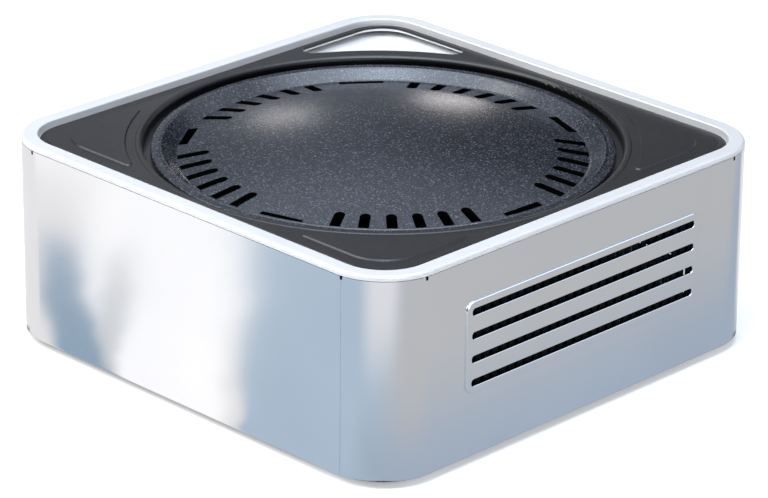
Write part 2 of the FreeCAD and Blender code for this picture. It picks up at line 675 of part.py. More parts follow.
def top_tray():
    body = new_body("top_tray")
    well = "well_radius + well_rounding / 2"
    band = new_sketch(body, "XY_Plane", "band_bottom")
    draw_square(band, "tray_half", "tray_radius")
    draw_circle(band, "well_radius + tray_sheet / 2")
    pad(body, band, "tray_sheet")
    edge_top = number("band_top")
    rim = number("tray_half") - slack
    soften(body, body.Tip, "tray_edge_rounding",
           lambda edge: lies_at(edge, 2, edge_top)
           and max(abs(edge.BoundBox.XMax), abs(edge.BoundBox.XMin),
                   abs(edge.BoundBox.YMax), abs(edge.BoundBox.YMin)) > rim)
    deck = new_sketch(body, "XY_Plane", "band_bottom + tray_sheet / 2")
    draw_square(deck, "deck_half", "deck_radius")
    draw_circle(deck, well)
    pad(body, deck, "tray_step + tray_sheet / 2")
    deck_top = number("deck_top")
    side = number("deck_half") - slack
    soften(body, body.Tip, "deck_bevel",
           lambda edge: lies_at(edge, 2, deck_top)
           and max(abs(edge.BoundBox.XMax), abs(edge.BoundBox.XMin),
                   abs(edge.BoundBox.YMax), abs(edge.BoundBox.YMin)) > side,
           "PartDesign::Chamfer")

    turned = new_sketch(body, "XZ_Plane")
    lip_top = "deck_top + lip_rise"
    lip_out = "well_radius + well_rounding + lip_width"
    draw(turned, [
        (lip_out + " + lip_slope", "deck_top - tray_sheet / 2"),
        (lip_out + " + lip_slope", "deck_top"),
        (lip_out, lip_top),
        ("well_radius + well_rounding", lip_top),
        ("well_radius", lip_top + " - well_rounding", "well_rounding", 1),
        ("well_radius", "ledge_top"),
        ("ledge_radius", "ledge_top"),
        ("ledge_radius", "channel_floor"),
        ("collar_radius + tray_sheet", "channel_floor"),
        ("collar_radius + tray_sheet", "collar_top"),
        ("collar_radius", "collar_top"),
        ("collar_radius", "channel_bottom"),
        ("ledge_radius + tray_sheet", "channel_bottom"),
        ("ledge_radius + tray_sheet", "ledge_top - tray_sheet"),
        ("well_radius + tray_sheet", "ledge_top - tray_sheet"),
        ("well_radius + tray_sheet", "deck_top - tray_sheet / 2"),
    ])
    revolve(body, turned)

    panel = new_sketch(body, "XY_Plane", "deck_top - tray_sheet / 4")
    draw_corner(panel, "tray_half - panel_margin", "panel_corner", "panel_tip", "well_radius + panel_web")
    raised = pad(body, panel, "panel_rise + tray_sheet / 4")
    link(raised, "TaperAngle", "-panel_bevel")
    settle(body, raised)
    polar(body, [raised], "3", "180")

    opening = new_sketch(body, "XY_Plane", "deck_top + tray_sheet")
    draw_corner(opening, "tray_half - opening_margin", "opening_corner", "opening_tip",
                "well_radius + opening_web", turned=True)
    pocket(body, opening, "tray_step + 3 * tray_sheet")


def grill_plate():
    body = new_body("grill_plate")
    turned = new_sketch(body, "XZ_Plane")
    ridge_top = "flange_top + ridge_rise"
    slope = "plate_thickness * plate_lean"
    inner_dome = "(dome_radius - plate_thickness)"
    inner_foot = "(dome_foot_radius - " + slope + ")"
    foot_level = "crown - dome_radius + sqrt(%s ^ 2 - %s ^ 2)" % (inner_dome, inner_foot)
    draw(turned, [
        ("0", "crown - plate_thickness"),
        (inner_foot, foot_level, inner_dome, -1),
        ("ridge_inside - " + slope, "ledge_top"),
        ("plate_radius", "ledge_top"),
        ("plate_radius", "flange_top"),
        ("ridge_radius + ridge_width / 2", "flange_top"),
        ("ridge_radius + ridge_width / 6", ridge_top),
        ("ridge_radius - ridge_width / 6", ridge_top),
        ("ridge_inside", "flange_top"),
        ("dome_foot_radius", "dome_foot"),
        ("0", "crown", "dome_radius", 1),
    ])
    revolve(body, turned)
    rim = number("plate_radius") - slack
    top = number("flange_top")
    soften(body, body.Tip, "plate_edge_rounding",
           lambda edge: lies_at(edge, 2, top) and edge.BoundBox.XMax > rim)
    slots = new_sketch(body, "XY_Plane", "crown + plate_thickness")
    half = "slot_width / 2"
    bend = "slot_width * (1 - round_end)"
    inner = "(slot_inner_radius + %s - sqrt((%s) ^ 2 - (%s) ^ 2))" % (bend, bend, half)
    for index in range(int(number("slots_in_group"))):
        turn = "(slot_turn + (%d - (slots_in_group - 1) / 2) * slot_step)" % index
        draw(slots, [
            turned_point("slot_outer_radius", minus(half), turn),
            turned_point("slot_outer_radius", half, turn),
            turned_point(inner, half, turn),
            turned_point(inner, minus(half), turn) + (bend, 1),
        ])
    bar = "(slot_turn + 180 / slot_groups)"
    near = "slot_outer_radius - bar_slot_width"
    reach = "bar_slot_length / 2"
    draw(slots, [
        turned_point("slot_outer_radius", minus(reach), bar),
        turned_point("slot_outer_radius", reach, bar),
        turned_point(near, reach, bar),
        turned_point(near, minus(reach), bar),
    ])
    cut = pocket(body, slots, "crown - dome_foot + 3 * plate_thickness")
    polar(body, [cut], "slot_groups")


def turned_point(out, across, turn):
    """Point at a radius and a sideways distance, turned about the middle."""
    return ("(%s) * cos(%s) - (%s) * sin(%s)" % (out, turn, across, turn),
            "(%s) * sin(%s) + (%s) * cos(%s)" % (out, turn, across, turn))


def base_plate():
    body = new_body("base_plate")
    outline = new_sketch(body, "XY_Plane", "flange_inside")
    draw_square(outline, "base_half", "base_radius")
    pad(body, outline, "base_sheet")
    holes = new_sketch(body, "XY_Plane", "flange_inside")
    draw_base_screws(holes, "screw_hole")
    draw_circle(holes, "screw_hole", "foot_place", "foot_place")
    drilled = pocket(body, holes, "base_sheet", reverse=True)
    quarter_turns(body, [drilled])
    slots = new_sketch(body, "XY_Plane", "flange_inside")
    rows = int(number("air_slot_rows"))
    for side in ("1", "-1"):
        for index in range(rows):
            row = "(%d - (air_slot_rows - 1) / 2) * air_slot_pitch" % index
            draw_rounded(slots, "air_slot_width / 2", "air_slot_length / 2", "air_slot_width * round_end",
                         side + " * (air_slot_place + " + row + ")")
    pocket(body, slots, "base_sheet", reverse=True)


def feet():
    corners = (("front", "1", "-1"), ("right", "1", "1"), ("rear", "-1", "1"), ("left", "-1", "-1"))
    for name, side_x, side_y in corners:
        body = new_body("foot_" + name)
        turned = new_sketch(body, "XZ_Plane")
        draw(turned, [
            ("screw_hole", "flange_inside - foot_web"),
            ("foot_bore_radius", "flange_inside - foot_web"),
            ("foot_bore_radius", "0"),
            ("foot_radius - foot_taper", "0"),
            ("foot_radius", "flange_inside"),
            ("screw_hole", "flange_inside"),
        ])
        revolve(body, turned)
        link(body, "Placement.Base.x", side_x + " * foot_place")
        link(body, "Placement.Base.y", side_y + " * foot_place")


def four_ways(shape):
    return [shape.rotated(FreeCAD.Vector(0, 0, 0), FreeCAD.Vector(0, 0, 1), 90 * turn) for turn in range(4)]


def hardware(label, shapes):
    """Group of equal loose fasteners in one node."""
    group = doc.addObject("Part::Feature", label)
    group.Label = label
    group.Shape = Part.makeCompound(shapes)
    bodies.append(group)


def screw(x, y, seat, tip, radius, head_radius, head_height):
    """Pan head screw whose head hangs under a level and whose shank ends above it."""
    head = Part.makeCylinder(head_radius, head_height, FreeCAD.Vector(x, y, seat - head_height))
    edge = [item for item in head.Edges
            if len(item.Vertexes) == 1 and item.Vertexes[0].Z < seat - head_height / 2]
    head = head.makeFillet(head_height * number("head_rounding"), edge)
    shank = Part.makeCylinder(radius, tip - seat, FreeCAD.Vector(x, y, seat))
    return head.fuse(shank).removeSplitter()


def rivet(x, y, low, high):
    """Rivet through sheets between two levels, with a domed head on both sides."""
    radius = number("rivet_radius")
    head = number("rivet_head_radius")
    rise = number("rivet_head_height")
    flat = head * number("rivet_flat")
    brim = rise * number("rivet_brim")
    outline = [(0, low - rise), (flat, low - rise), (head, low - brim), (head, low),
               (radius, low), (radius, high), (head, high), (head, high + brim),
               (flat, high + rise), (0, high + rise), (0, low - rise)]
    face = Part.Face(Part.makePolygon([FreeCAD.Vector(out, 0, up) for out, up in outline]))
    solid = face.revolve(FreeCAD.Vector(0, 0, 0), FreeCAD.Vector(0, 0, 1), 360)
    solid.translate(FreeCAD.Vector(x, y, 0))
    return solid


def push_nut(spot, way):
    """Push-on nut whose back lies at a spot and whose thickness runs along a direction."""
    sheet_thickness = number("stud_nut_sheet")
    ring = Part.makeCylinder(number("stud_nut_radius"), sheet_thickness, spot, way)
    return ring.cut(Part.makeCylinder(number("stud_radius + thread_gap"), sheet_thickness, spot, way))


def fasteners():
    radius = number("screw_radius")
    head = (number("screw_head_radius"), number("screw_head_height"))
    line = number("screw_line")
    place = number("base_screw_place")
    tip = number("hearth_foot_top + base_screw_tip")
    pair = [screw(line, side * place, number("foot_height"), tip, radius, *head) for side in (1, -1)]
    hardware("base_screws", [turned for item in pair for turned in four_ways(item)])

    spot = number("foot_place")
    nut_level = number("base_top")
    nut_height = number("nut_height")
    bolt = screw(spot, spot, number("flange_inside - foot_web"),
                 nut_level + nut_height + number("foot_screw_tip"), radius, *head)
    hardware("foot_screws", four_ways(bolt))
    reach = number("nut_radius")
    corners = [math.radians(60 * turn) for turn in range(7)]
    hexagon = [FreeCAD.Vector(spot + reach * math.cos(turn), spot + reach * math.sin(turn), nut_level)
               for turn in corners]
    nut = Part.Face(Part.makePolygon(hexagon)).extrude(FreeCAD.Vector(0, 0, nut_height))
    bore = Part.makeCylinder(number("screw_radius + thread_gap"), nut_height,
                             FreeCAD.Vector(spot, spot, nut_level))
    hardware("foot_nuts", four_ways(nut.cut(bore)))

    line = number("half - rim_screw_inset")
    place = number("rim_screw_place")
    seat = number("wrap_top - shell_sheet")
    tip = number("rim_top - rim_sheet - rim_screw_room")
    slim = (number("rim_screw_radius"), number("rim_screw_head_radius"), number("rim_screw_head_height"))
    pair = [screw(line, side * place, seat, tip, *slim) for side in (1, -1)]
    hardware("rim_screws", [turned for item in pair for turned in four_ways(item)])

    across = number("shield_rivet_line") * math.sqrt(0.5)
    hardware("shield_rivets", four_ways(rivet(across, across, number("hearth_under"),
                                              number("hearth_level + hearth_sheet"))))

    line = number("runner_rivet_line")
    reach = number("runner_rivet_place")
    low = number("hearth_under - hearth_sheet")
    top = number("hearth_level")
    hardware("runner_rivets", [rivet(side * line, along * reach, low, top)
                               for side in (1, -1) for along in (1, -1)])

    back = number("drawer_face - drawer_sheet")
    level = number("drawer_middle")
    hardware("drawer_nuts", [push_nut(FreeCAD.Vector(side * number("front_stud_place"), back, level),
                                      FreeCAD.Vector(0, -1, 0)) for side in (1, -1)])

    back = number("wall_inside - screen_sheet")
    across = number("screen_half - stud_inset")
    rise = number("screen_rise - stud_inset")
    middle = number("vent_middle")
    hardware("screen_nuts", [push_nut(FreeCAD.Vector(side * back, along * across, middle + up * rise),
                                      FreeCAD.Vector(-side, 0, 0))
                             for side in (1, -1) for along in (1, -1) for up in (1, -1)])


def fire_bowl():
    body = new_body("fire_bowl")
    turned = new_sketch(body, "XZ_Plane")
    rim_under = "bowl_top - bowl_wall"
    draw(turned, [
        ("0", "hearth_level"),
        ("bowl_radius", "hearth_level"),
        ("bowl_radius", rim_under),
        ("bowl_radius + bowl_rim", rim_under),
        ("bowl_radius + bowl_rim", "bowl_top"),
        ("bowl_inside", "bowl_top"),
        ("bowl_inside", "bowl_floor_top"),
        ("0", "bowl_floor_top"),
    ])
    revolve(body, turned)
    middle = new_sketch(body, "XY_Plane", "hearth_level")
    draw_circle(middle, "bowl_floor_hole_radius")
    pocket(body, middle, "bowl_wall", reverse=True)
    holes = new_sketch(body, "XY_Plane", "hearth_level")
    draw_circle(holes, "bowl_floor_hole_radius", "bowl_floor_hole_place")
    polar(body, [pocket(body, holes, "bowl_wall", reverse=True)], "bowl_floor_hole_count")
    holes = new_sketch(body, "YZ_Plane")
    draw_circle(holes, "bowl_side_hole_radius", up="hearth_level + bowl_side_hole_rise")
    drilled = pocket(body, holes, "bowl_radius + bowl_wall", reverse=True)
    polar(body, [drilled], "bowl_side_hole_count")


def charcoal_grate():
    body = new_body("charcoal_grate")
    disc = new_sketch(body, "XY_Plane", "grate_bottom")
    draw_circle(disc, "grate_radius")
    draw_circle(disc, "grate_hole_radius")
    pad(body, disc, "grate_thickness")
    leg = new_sketch(body, "XY_Plane", "bowl_floor_top")
    draw_circle(leg, "grate_leg_radius", "grate_radius - grate_slot_margin / 2")
    raised = pad(body, leg, "grate_bottom - bowl_floor_top + grate_thickness / 2")
    quarter_turns(body, [raised])
    slot = new_sketch(body, "XY_Plane", "grate_bottom")
    draw_rounded(slot, "(grate_slot_outer - grate_slot_inner) / 2", "grate_slot_width / 2",
                 "grate_slot_width * round_end", "(grate_slot_outer + grate_slot_inner) / 2")
    polar(body, [pocket(body, slot, "grate_thickness", reverse=True)], "grate_slot_count")


def heat_shield():
    body = new_body("heat_shield")
    turned = new_sketch(body, "XZ_Plane")
    draw_turned_angle(turned, "shield_radius", "shield_radius + shield_flange", "hearth_level", "shield_top")
    revolve(body, turned)
    holes = new_sketch(body, "YZ_Plane")
    draw_circle(holes, "shield_hole_radius", up="hearth_level + shield_hole_rise")
    polar(body, [pocket(body, holes, "shield_radius + hearth_sheet", reverse=True)], "shield_hole_count")
    rivets = new_sketch(body, "XY_Plane", "hearth_level")
    place = "shield_rivet_line * sqrt(0.5)"
    draw_circle(rivets, "rivet_hole", place, place)
    quarter_turns(body, [pocket(body, rivets, "hearth_sheet", reverse=True)])


def draw_turned_angle(sketch, outside, reach, low, high):
    """Profile of a sheet ring with a flange at its foot."""
    draw(sketch, [
        (outside + " - hearth_sheet", low),
        (reach, low),
        (reach, low + " + hearth_sheet"),
        (outside, low + " + hearth_sheet"),
        (outside, high),
        (outside + " - hearth_sheet", high),
    ])


def hearth_plate():
    body = new_body("hearth_plate")
    top = new_sketch(body, "XY_Plane", "hearth_under")
    draw_box(top, minus("hearth_half"), minus("hearth_leg_half"), "hearth_half", "hearth_leg_half")
    draw_circle(top, "ash_hole_radius")
    pad(body, top, "hearth_sheet")
    leg = new_sketch(body, "XZ_Plane", minus("hearth_leg_half"))
    draw_turned_angle(leg, "hearth_half", "hearth_half + hearth_foot", "base_top",
                      "hearth_level - hearth_sheet / 2")
    legs = pad(body, leg, "2 * hearth_leg_half")
    holes = new_sketch(body, "XY_Plane", "base_top")
    draw_base_screws(holes, "screw_hole")
    drilled = pocket(body, holes, "hearth_sheet", reverse=True)
    mirror(body, [legs, drilled])
    rivets = new_sketch(body, "XY_Plane", "hearth_under")
    place = "shield_rivet_line * sqrt(0.5)"
    for side_x, side_y in (("1", "1"), ("1", "-1"), ("-1", "1"), ("-1", "-1")):
        draw_circle(rivets, "rivet_hole", side_x + " * " + place, side_y + " * " + place)
        draw_circle(rivets, "rivet_hole", side_x + " * runner_rivet_line", side_y + " * runner_rivet_place")
    pocket(body, rivets, "hearth_sheet", reverse=True)


def drawer_runner(name, side):
    body = new_body("drawer_runner_" + name)
    profile = new_sketch(body, "XZ_Plane", minus("runner_half"))
    inner = "runner_web - runner_leg"
    outer = "runner_web + hearth_sheet"
    outline = [
        (inner, "runner_level - hearth_sheet"),
        (outer, "runner_level - hearth_sheet"),
        (outer, "hearth_under - hearth_sheet"),
        (outer + " + runner_top", "hearth_under - hearth_sheet"),
        (outer + " + runner_top", "hearth_under"),
        ("runner_web", "hearth_under"),
        ("runner_web", "runner_level"),
        (inner, "runner_level"),
    ]
    draw(profile, [(side + " * (" + across + ")", up) for across, up in outline])
    pad(body, profile, "2 * runner_half")
    holes = new_sketch(body, "XY_Plane", "hearth_under")
    for along in ("runner_rivet_place", minus("runner_rivet_place")):
        draw_circle(holes, "rivet_hole", side + " * runner_rivet_line", along)
    pocket(body, holes, "hearth_sheet")


def ash_drawer():
    body = new_body("ash_drawer")
    wall = "drawer_half - drawer_sheet"
    inner_face = "drawer_face - drawer_sheet"
    outline = new_sketch(body, "XY_Plane", "drawer_bottom")
    draw_box(outline, minus("drawer_half"), minus("drawer_back"), "drawer_half", "drawer_face")
    pad(body, outline, "drawer_height")
    flanges = new_sketch(body, "XY_Plane", "drawer_top - drawer_sheet")
    reach = "drawer_half + drawer_flange"
    draw_box(flanges, minus(reach), minus("drawer_back"), reach, "drawer_face - drawer_setback")
    pad(body, flanges, "drawer_sheet")
    hollow = new_sketch(body, "XY_Plane", "drawer_bottom + drawer_sheet")
    finger_room = inner_face + " - drawer_pocket"
    draw_box(hollow, minus(wall), minus("drawer_back - drawer_sheet"), wall, finger_room + " - drawer_sheet")
    draw_box(hollow, minus(wall), finger_room, wall, inner_face)
    pocket(body, hollow, "drawer_height", reverse=True)
    slot = new_sketch(body, "XZ_Plane", minus(inner_face))
    draw_finger_slot(slot)
    for place in ("front_stud_place", minus("front_stud_place")):
        draw_circle(slot, "stud_hole", place, "drawer_middle")
    pocket(body, slot, "drawer_sheet")


def draw_finger_slot(sketch):
    draw_rounded(sketch, "finger_length / 2", "finger_height / 2", "finger_height * round_end",
                 up="drawer_middle")


def drawer_front():
    body = new_body("drawer_front")
    outline = new_sketch(body, "XZ_Plane", minus("half"))
    draw_rounded(outline, "front_half", "(front_top - front_bottom) / 2", "front_corner",
                 up="(front_top + front_bottom) / 2")
    draw_finger_slot(outline)
    pad(body, outline, "front_sheet")
    studs = new_sketch(body, "XZ_Plane", minus("half - front_sheet / 2"))
    for place in ("front_stud_place", minus("front_stud_place")):
        draw_circle(studs, "stud_radius", place, "drawer_middle")
    pad(body, studs, "front_sheet / 2 + front_stud_length")


def vent_screen(name, level):
    body = new_body("vent_screen_" + name)
    outline = new_sketch(body, "YZ_Plane", level)
    draw_rounded(outline, "screen_half", "screen_rise", "screen_corner", up="vent_middle")
    for across in ("screen_half - stud_inset", minus("screen_half - stud_inset")):
        for up in ("screen_rise - stud_inset", minus("screen_rise - stud_inset")):
            draw_circle(outline, "stud_hole", across, "vent_middle + " + up)
    pad(body, outline, "screen_sheet")
    slits = new_sketch(body, "YZ_Plane")
    start = minus("screen_slit_half")
    for side in ("1", "-1"):
        middle = "vent_middle + %s * screen_row_place" % side
        draw_box(slits, start + " - screen_slit_width / 2", middle + " - screen_slit_height / 2",
                 start + " + screen_slit_width / 2", middle + " + screen_slit_height / 2")
    cut = pocket(body, slits)
    pattern = body.newObject("PartDesign::LinearPattern", body.Label + "_pattern")
    pattern.Originals = [cut]
    pattern.Direction = (datum(body, "Y_Axis"), [""])
    link(pattern, "Length", "2 * screen_slit_half")
    link(pattern, "Occurrences", "screen_slit_columns")
    settle(body, pattern)


def gusset(name, turn):
    body = new_body("gusset_" + name)
    plate = new_sketch(body, "XY_Plane", "gusset_level - gusset_sheet")
    inner_end = "sqrt(gusset_arc ^ 2 - gusset_end ^ 2)"
    bend = "wall_inside - wall_radius"
    draw(plate, [
        (inner_end, "gusset_end", "gusset_arc", -1),
        ("wall_inside", "gusset_end"),
        ("wall_inside", bend),
        (bend, "wall_inside", "wall_radius + gusset_ease", 1),
        ("gusset_end", "wall_inside"),
        ("gusset_end", inner_end),
    ])
    pad(body, plate, "gusset_sheet")
    lips = new_sketch(body, "XY_Plane", "gusset_level - gusset_lip")
    draw_box(lips, "wall_inside - gusset_sheet", "gusset_end", "wall_inside", bend)
    draw_box(lips, "gusset_end", "wall_inside - gusset_sheet", bend, "wall_inside")
    pad(body, lips, "gusset_lip")
    upright = FreeCAD.Vector(0, 0, 1)
    body.Placement = FreeCAD.Placement(FreeCAD.Vector(0, 0, 0), FreeCAD.Rotation(upright, turn))


housing_wrap()
top_rim()
top_tray()
grill_plate()
fire_bowl()
charcoal_grate()
heat_shield()
hearth_plate()
drawer_runner("right", "1")
drawer_runner("left", "-1")
ash_drawer()
drawer_front()
base_plate()
feet()
vent_screen("right", "wall_inside - screen_sheet")
vent_screen("left", minus("wall_inside"))
for corner_name, corner_turn in (("right", 0), ("rear", 90), ("left", 180), ("front", 270)):
    gusset(corner_name, corner_turn)
fasteners()

doc.recompute()
for item in doc.Objects:
    if "Invalid" in item.State or "Error" in item.State:
        raise RuntimeError(item.Name + " is " + str(item.State))
for piece in bodies:
    if piece.Shape.isNull() or not piece.Shape.isValid():
        raise RuntimeError(piece.Label + " has no valid shape")

os.makedirs("parts", exist_ok=True)
for piece in bodies:
    piece.Shape.exportStep("parts/%s.step" % piece.Label)
    print(piece.Label, len(piece.Shape.Solids), round(piece.Shape.Volume))
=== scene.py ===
import math

import bmesh
import bpy
from mathutils import Matrix, Vector


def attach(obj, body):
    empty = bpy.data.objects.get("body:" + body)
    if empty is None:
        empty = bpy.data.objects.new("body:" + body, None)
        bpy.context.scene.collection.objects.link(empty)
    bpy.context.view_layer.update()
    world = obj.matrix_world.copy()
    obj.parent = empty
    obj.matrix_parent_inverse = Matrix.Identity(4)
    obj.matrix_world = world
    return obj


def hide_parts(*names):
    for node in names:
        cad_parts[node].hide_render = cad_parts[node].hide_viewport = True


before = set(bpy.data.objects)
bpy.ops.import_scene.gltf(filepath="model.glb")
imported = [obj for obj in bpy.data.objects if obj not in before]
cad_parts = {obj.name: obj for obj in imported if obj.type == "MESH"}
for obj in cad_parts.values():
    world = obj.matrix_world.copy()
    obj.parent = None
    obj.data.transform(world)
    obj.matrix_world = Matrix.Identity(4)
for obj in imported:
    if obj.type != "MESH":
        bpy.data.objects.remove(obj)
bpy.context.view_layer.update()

# Portable charcoal grill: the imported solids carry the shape, and this script dresses them.
scene = bpy.context.scene
scene.view_settings.view_transform = "Standard"
mm = 0.001


# camera: angles in degrees, lengths in metres, focal length and sensor in mm

cameraView = {"azimuth": 44.64, "elevation": 22.79, "distance": 2.42789, "roll": 0.61, "focal": 187.37,
              "sensor": 36, "farthest": 30, "right": 0.00109, "up": -0.00401, "height": 0.060}


def makeCamera(view):
    turn = math.radians(view["azimuth"])
    rise = math.radians(view["elevation"])
    roll = math.radians(view["roll"])
    back = Vector((math.sin(turn) * math.cos(rise), -math.cos(turn) * math.cos(rise), math.sin(rise)))
    right = Vector((math.cos(turn), math.sin(turn), 0))
    up = back.cross(right)
    across = right * math.cos(roll) + up * math.sin(roll)
    top = up * math.cos(roll) - right * math.sin(roll)
    place = Vector((0, 0, view["height"])) + right * view["right"] + up * view["up"] + back * view["distance"]
    lens = bpy.data.cameras.new("camera")
    lens.lens = view["focal"]
    lens.sensor_width = view["sensor"]
    lens.clip_end = view["farthest"]
    camera = bpy.data.objects.new("camera", lens)
    scene.collection.objects.link(camera)
    camera.matrix_world = Matrix.Translation(place) @ Matrix((across, top, back)).transposed().to_4x4()
    scene.camera = camera


makeCamera(cameraView)
print("camera placed")


# nodes

def addNode(tree, kind, links=None, **settings):
    node = tree.nodes.new(kind)
    for key, value in settings.items():
        setattr(node, key, value)
    for socket, source in (links or {}).items():
        if hasattr(source, "is_output"):
            tree.links.new(source, node.inputs[socket])
        else:
            node.inputs[socket].default_value = source
    return node


def calculator(tree):
    def calculate(operation, first, second=0.0):
        return addNode(tree, "ShaderNodeMath", {0: first, 1: second}, operation=operation).outputs[0]
    return calculate


def mapRange(tree, value, low, high, start=0.0, end=1.0, kind="LINEAR"):
    limits = {"Value": value, "From Min": low, "From Max": high, "To Min": start, "To Max": end}
    return addNode(tree, "ShaderNodeMapRange", limits, interpolation_type=kind).outputs["Result"]


def mixColors(tree, mask, under, over):
    mixed = addNode(tree, "ShaderNodeMix", {"Factor": mask}, data_type="RGBA")
    for socket, color in (("A", under), ("B", over)):
        if isinstance(color, tuple):
            mixed.inputs[socket].default_value = (*color, 1)
        else:
            tree.links.new(color, mixed.inputs[socket])
    return mixed.outputs["Result"]


# materials

texture = {"cloudDetail": 3.0, "grainDetail": 2.0, "cloudRange": (0.3, 0.7), "grainRange": (0.25, 0.75),
           "bumpDepth": 0.1}


def newMaterial(name, look):
    # one surface: cloudy colour, speckles, soot and painted shade, uneven gloss and a fine bump, all on
    # Object coordinates
    material = bpy.data.materials.new(name)
    material.use_nodes = True
    tree = material.node_tree
    shader = tree.nodes["Principled BSDF"]
    shader.inputs["Metallic"].default_value = look.get("metallic", 0.0)
    shader.inputs["Specular IOR Level"].default_value = look.get("specular", 0.5)
    place = addNode(tree, "ShaderNodeTexCoord").outputs["Object"]
    stretched = addNode(tree, "ShaderNodeMapping", {"Vector": place, "Scale": look.get("stretch", (1, 1, 1))})
    cloud = addNode(tree, "ShaderNodeTexNoise", {
        "Vector": place, "Scale": look["cloudScale"], "Detail": texture["cloudDetail"]})
    grain = addNode(tree, "ShaderNodeTexNoise", {
        "Vector": stretched.outputs["Vector"], "Scale": look["grainScale"], "Detail": texture["grainDetail"]})
    tone = mapRange(tree, cloud.outputs["Fac"], *texture["cloudRange"])
    color = mixColors(tree, tone, look["dark"], look["light"])
    for speckle in look.get("speckles", []):
        cells = addNode(tree, "ShaderNodeTexVoronoi", {"Vector": place, "Scale": speckle["scale"]})
        wanted = addNode(tree, "ShaderNodeSeparateColor", {"Color": cells.outputs["Color"]})
        chosen = mapRange(tree, wanted.outputs["Red"], 1 - speckle["share"], 1.0, 0.0, speckle["strength"])
        color = mixColors(tree, chosen, color, speckle["color"])
    # darkened faces: soot, and painted shade in hollows where little light reaches
    if "sootAndShade" in look:
        marked = addNode(tree, "ShaderNodeAttribute", attribute_name="sootAndShade")
        color = mixColors(tree, marked.outputs["Fac"], color, look["sootAndShade"])
    tree.links.new(color, shader.inputs["Base Color"])
    gloss = mapRange(tree, grain.outputs["Fac"], *texture["grainRange"], *look["roughness"])
    tree.links.new(gloss, shader.inputs["Roughness"])
    bump = addNode(tree, "ShaderNodeBump", {
        "Height": grain.outputs["Fac"], "Strength": look["bump"], "Distance": texture["bumpDepth"] * mm})
    tree.links.new(bump.outputs["Normal"], shader.inputs["Normal"])
    return material


# the soot colours paint soot and shade together: near black on the walls' inner faces, the tray's well wall
# and the plate's slot walls
looks = {
    "housingSteel": {
        "dark": (0.80, 0.81, 0.83), "light": (0.86, 0.865, 0.875), "metallic": 1.0, "cloudScale": 9,
        "grainScale": 90, "stretch": (1, 1, 14), "roughness": (0.14, 0.18), "bump": 0.03,
        "sootAndShade": (0.012, 0.012, 0.012)},
    "rimSteel": {
        "dark": (0.70, 0.70, 0.705), "light": (0.74, 0.74, 0.742), "metallic": 0.15, "cloudScale": 12,
        "grainScale": 60, "roughness": (0.28, 0.33), "bump": 0.02},
    "trayEnamel": {
        "dark": (0.009, 0.0075, 0.0074), "light": (0.014, 0.0118, 0.0115), "specular": 0.36, "cloudScale": 20,
        "grainScale": 700, "roughness": (0.30, 0.36), "bump": 0.06, "sootAndShade": (0.001, 0.001, 0.001),
        "speckles": [{"scale": 1100, "share": 0.3, "strength": 0.5, "color": (0.03, 0.028, 0.028)}]},
    "plateCoating": {
        "dark": (0.009, 0.0095, 0.0135), "light": (0.014, 0.015, 0.020), "cloudScale": 15,
        "grainScale": 900, "roughness": (0.18, 0.23), "bump": 0.35, "sootAndShade": (0.002, 0.002, 0.002),
        "speckles": [{"scale": 1300, "share": 0.5, "strength": 0.9, "color": (0.038, 0.041, 0.054)},
                     {"scale": 1250, "share": 0.2, "strength": 0.9, "color": (0.120, 0.127, 0.153)},
                     {"scale": 1000, "share": 0.35, "strength": 1.0, "color": (0.003, 0.003, 0.005)}]},
    "bowlEnamel": {
        "dark": (0.012, 0.012, 0.012), "light": (0.024, 0.023, 0.022), "cloudScale": 25,
        "grainScale": 700, "roughness": (0.5, 0.7), "bump": 0.3},
    "grateIron": {
        "dark": (0.03, 0.029, 0.028), "light": (0.055, 0.05, 0.047), "metallic": 0.6, "cloudScale": 40,
        "grainScale": 900, "roughness": (0.55, 0.75), "bump": 0.6},
    "innerSteel": {
        "dark": (0.42, 0.43, 0.45), "light": (0.54, 0.545, 0.56), "metallic": 1.0, "cloudScale": 60,
        "grainScale": 350, "roughness": (0.35, 0.45), "bump": 0.08,
        "speckles": [{"scale": 90, "share": 1.0, "strength": 0.25, "color": (0.36, 0.38, 0.42)}]},
    "sootSteel": {
        "dark": (0.012, 0.012, 0.012), "light": (0.03, 0.029, 0.028), "metallic": 0.5, "cloudScale": 45,
        "grainScale": 500, "roughness": (0.5, 0.65), "bump": 0.2},
    # near white: painted light, so the inside seen through the rear corner opening looks brightly lit
    "gussetPaintedBright": {
        "dark": (0.90, 0.90, 0.90), "light": (0.95, 0.95, 0.95), "metallic": 0.15, "cloudScale": 30,
        "grainScale": 350, "roughness": (0.35, 0.45), "bump": 0.05},
    # near black: painted shade seen through the vent slots
    "screenPaintedShade": {
        "dark": (0.002, 0.002, 0.002), "light": (0.004, 0.004, 0.004), "specular": 0.1, "cloudScale": 30,
        "grainScale": 900, "roughness": (0.75, 0.9), "bump": 0.2},
    "footRubber": {
        "dark": (0.015, 0.015, 0.015), "light": (0.028, 0.028, 0.027), "cloudScale": 80,
        "grainScale": 1200, "roughness": (0.7, 0.85), "bump": 0.5},
    "fastenerZinc": {
        "dark": (0.55, 0.55, 0.56), "light": (0.68, 0.68, 0.68), "metallic": 1.0, "cloudScale": 90,
        "grainScale": 900, "roughness": (0.3, 0.42), "bump": 0.1},
}
materials = {name: newMaterial(name, look) for name, look in looks.items()}
print("materials made")


# finishing: lengths in mm, flatAngle in radians, sharp edges from these degrees up

finish = {"merge": 0.002, "flatAngle": 0.001, "sheetSharp": 24, "turnedSharp": 35, "normalWeight": 100,
          "cornerShare": 0.45, "smallest": 1e-6}
# how far out from the axis the soot and painted shade reach, in mm, and how far up a darkened face may look
sootAndShade = {"walls": 164.2, "well": 144.5, "wellTilt": 0.8, "slots": 100, "slotTilt": 0.5}


def blankPiece(name, mesh):
    piece = bpy.data.objects.new(name, mesh)
    scene.collection.objects.link(piece)
    return piece


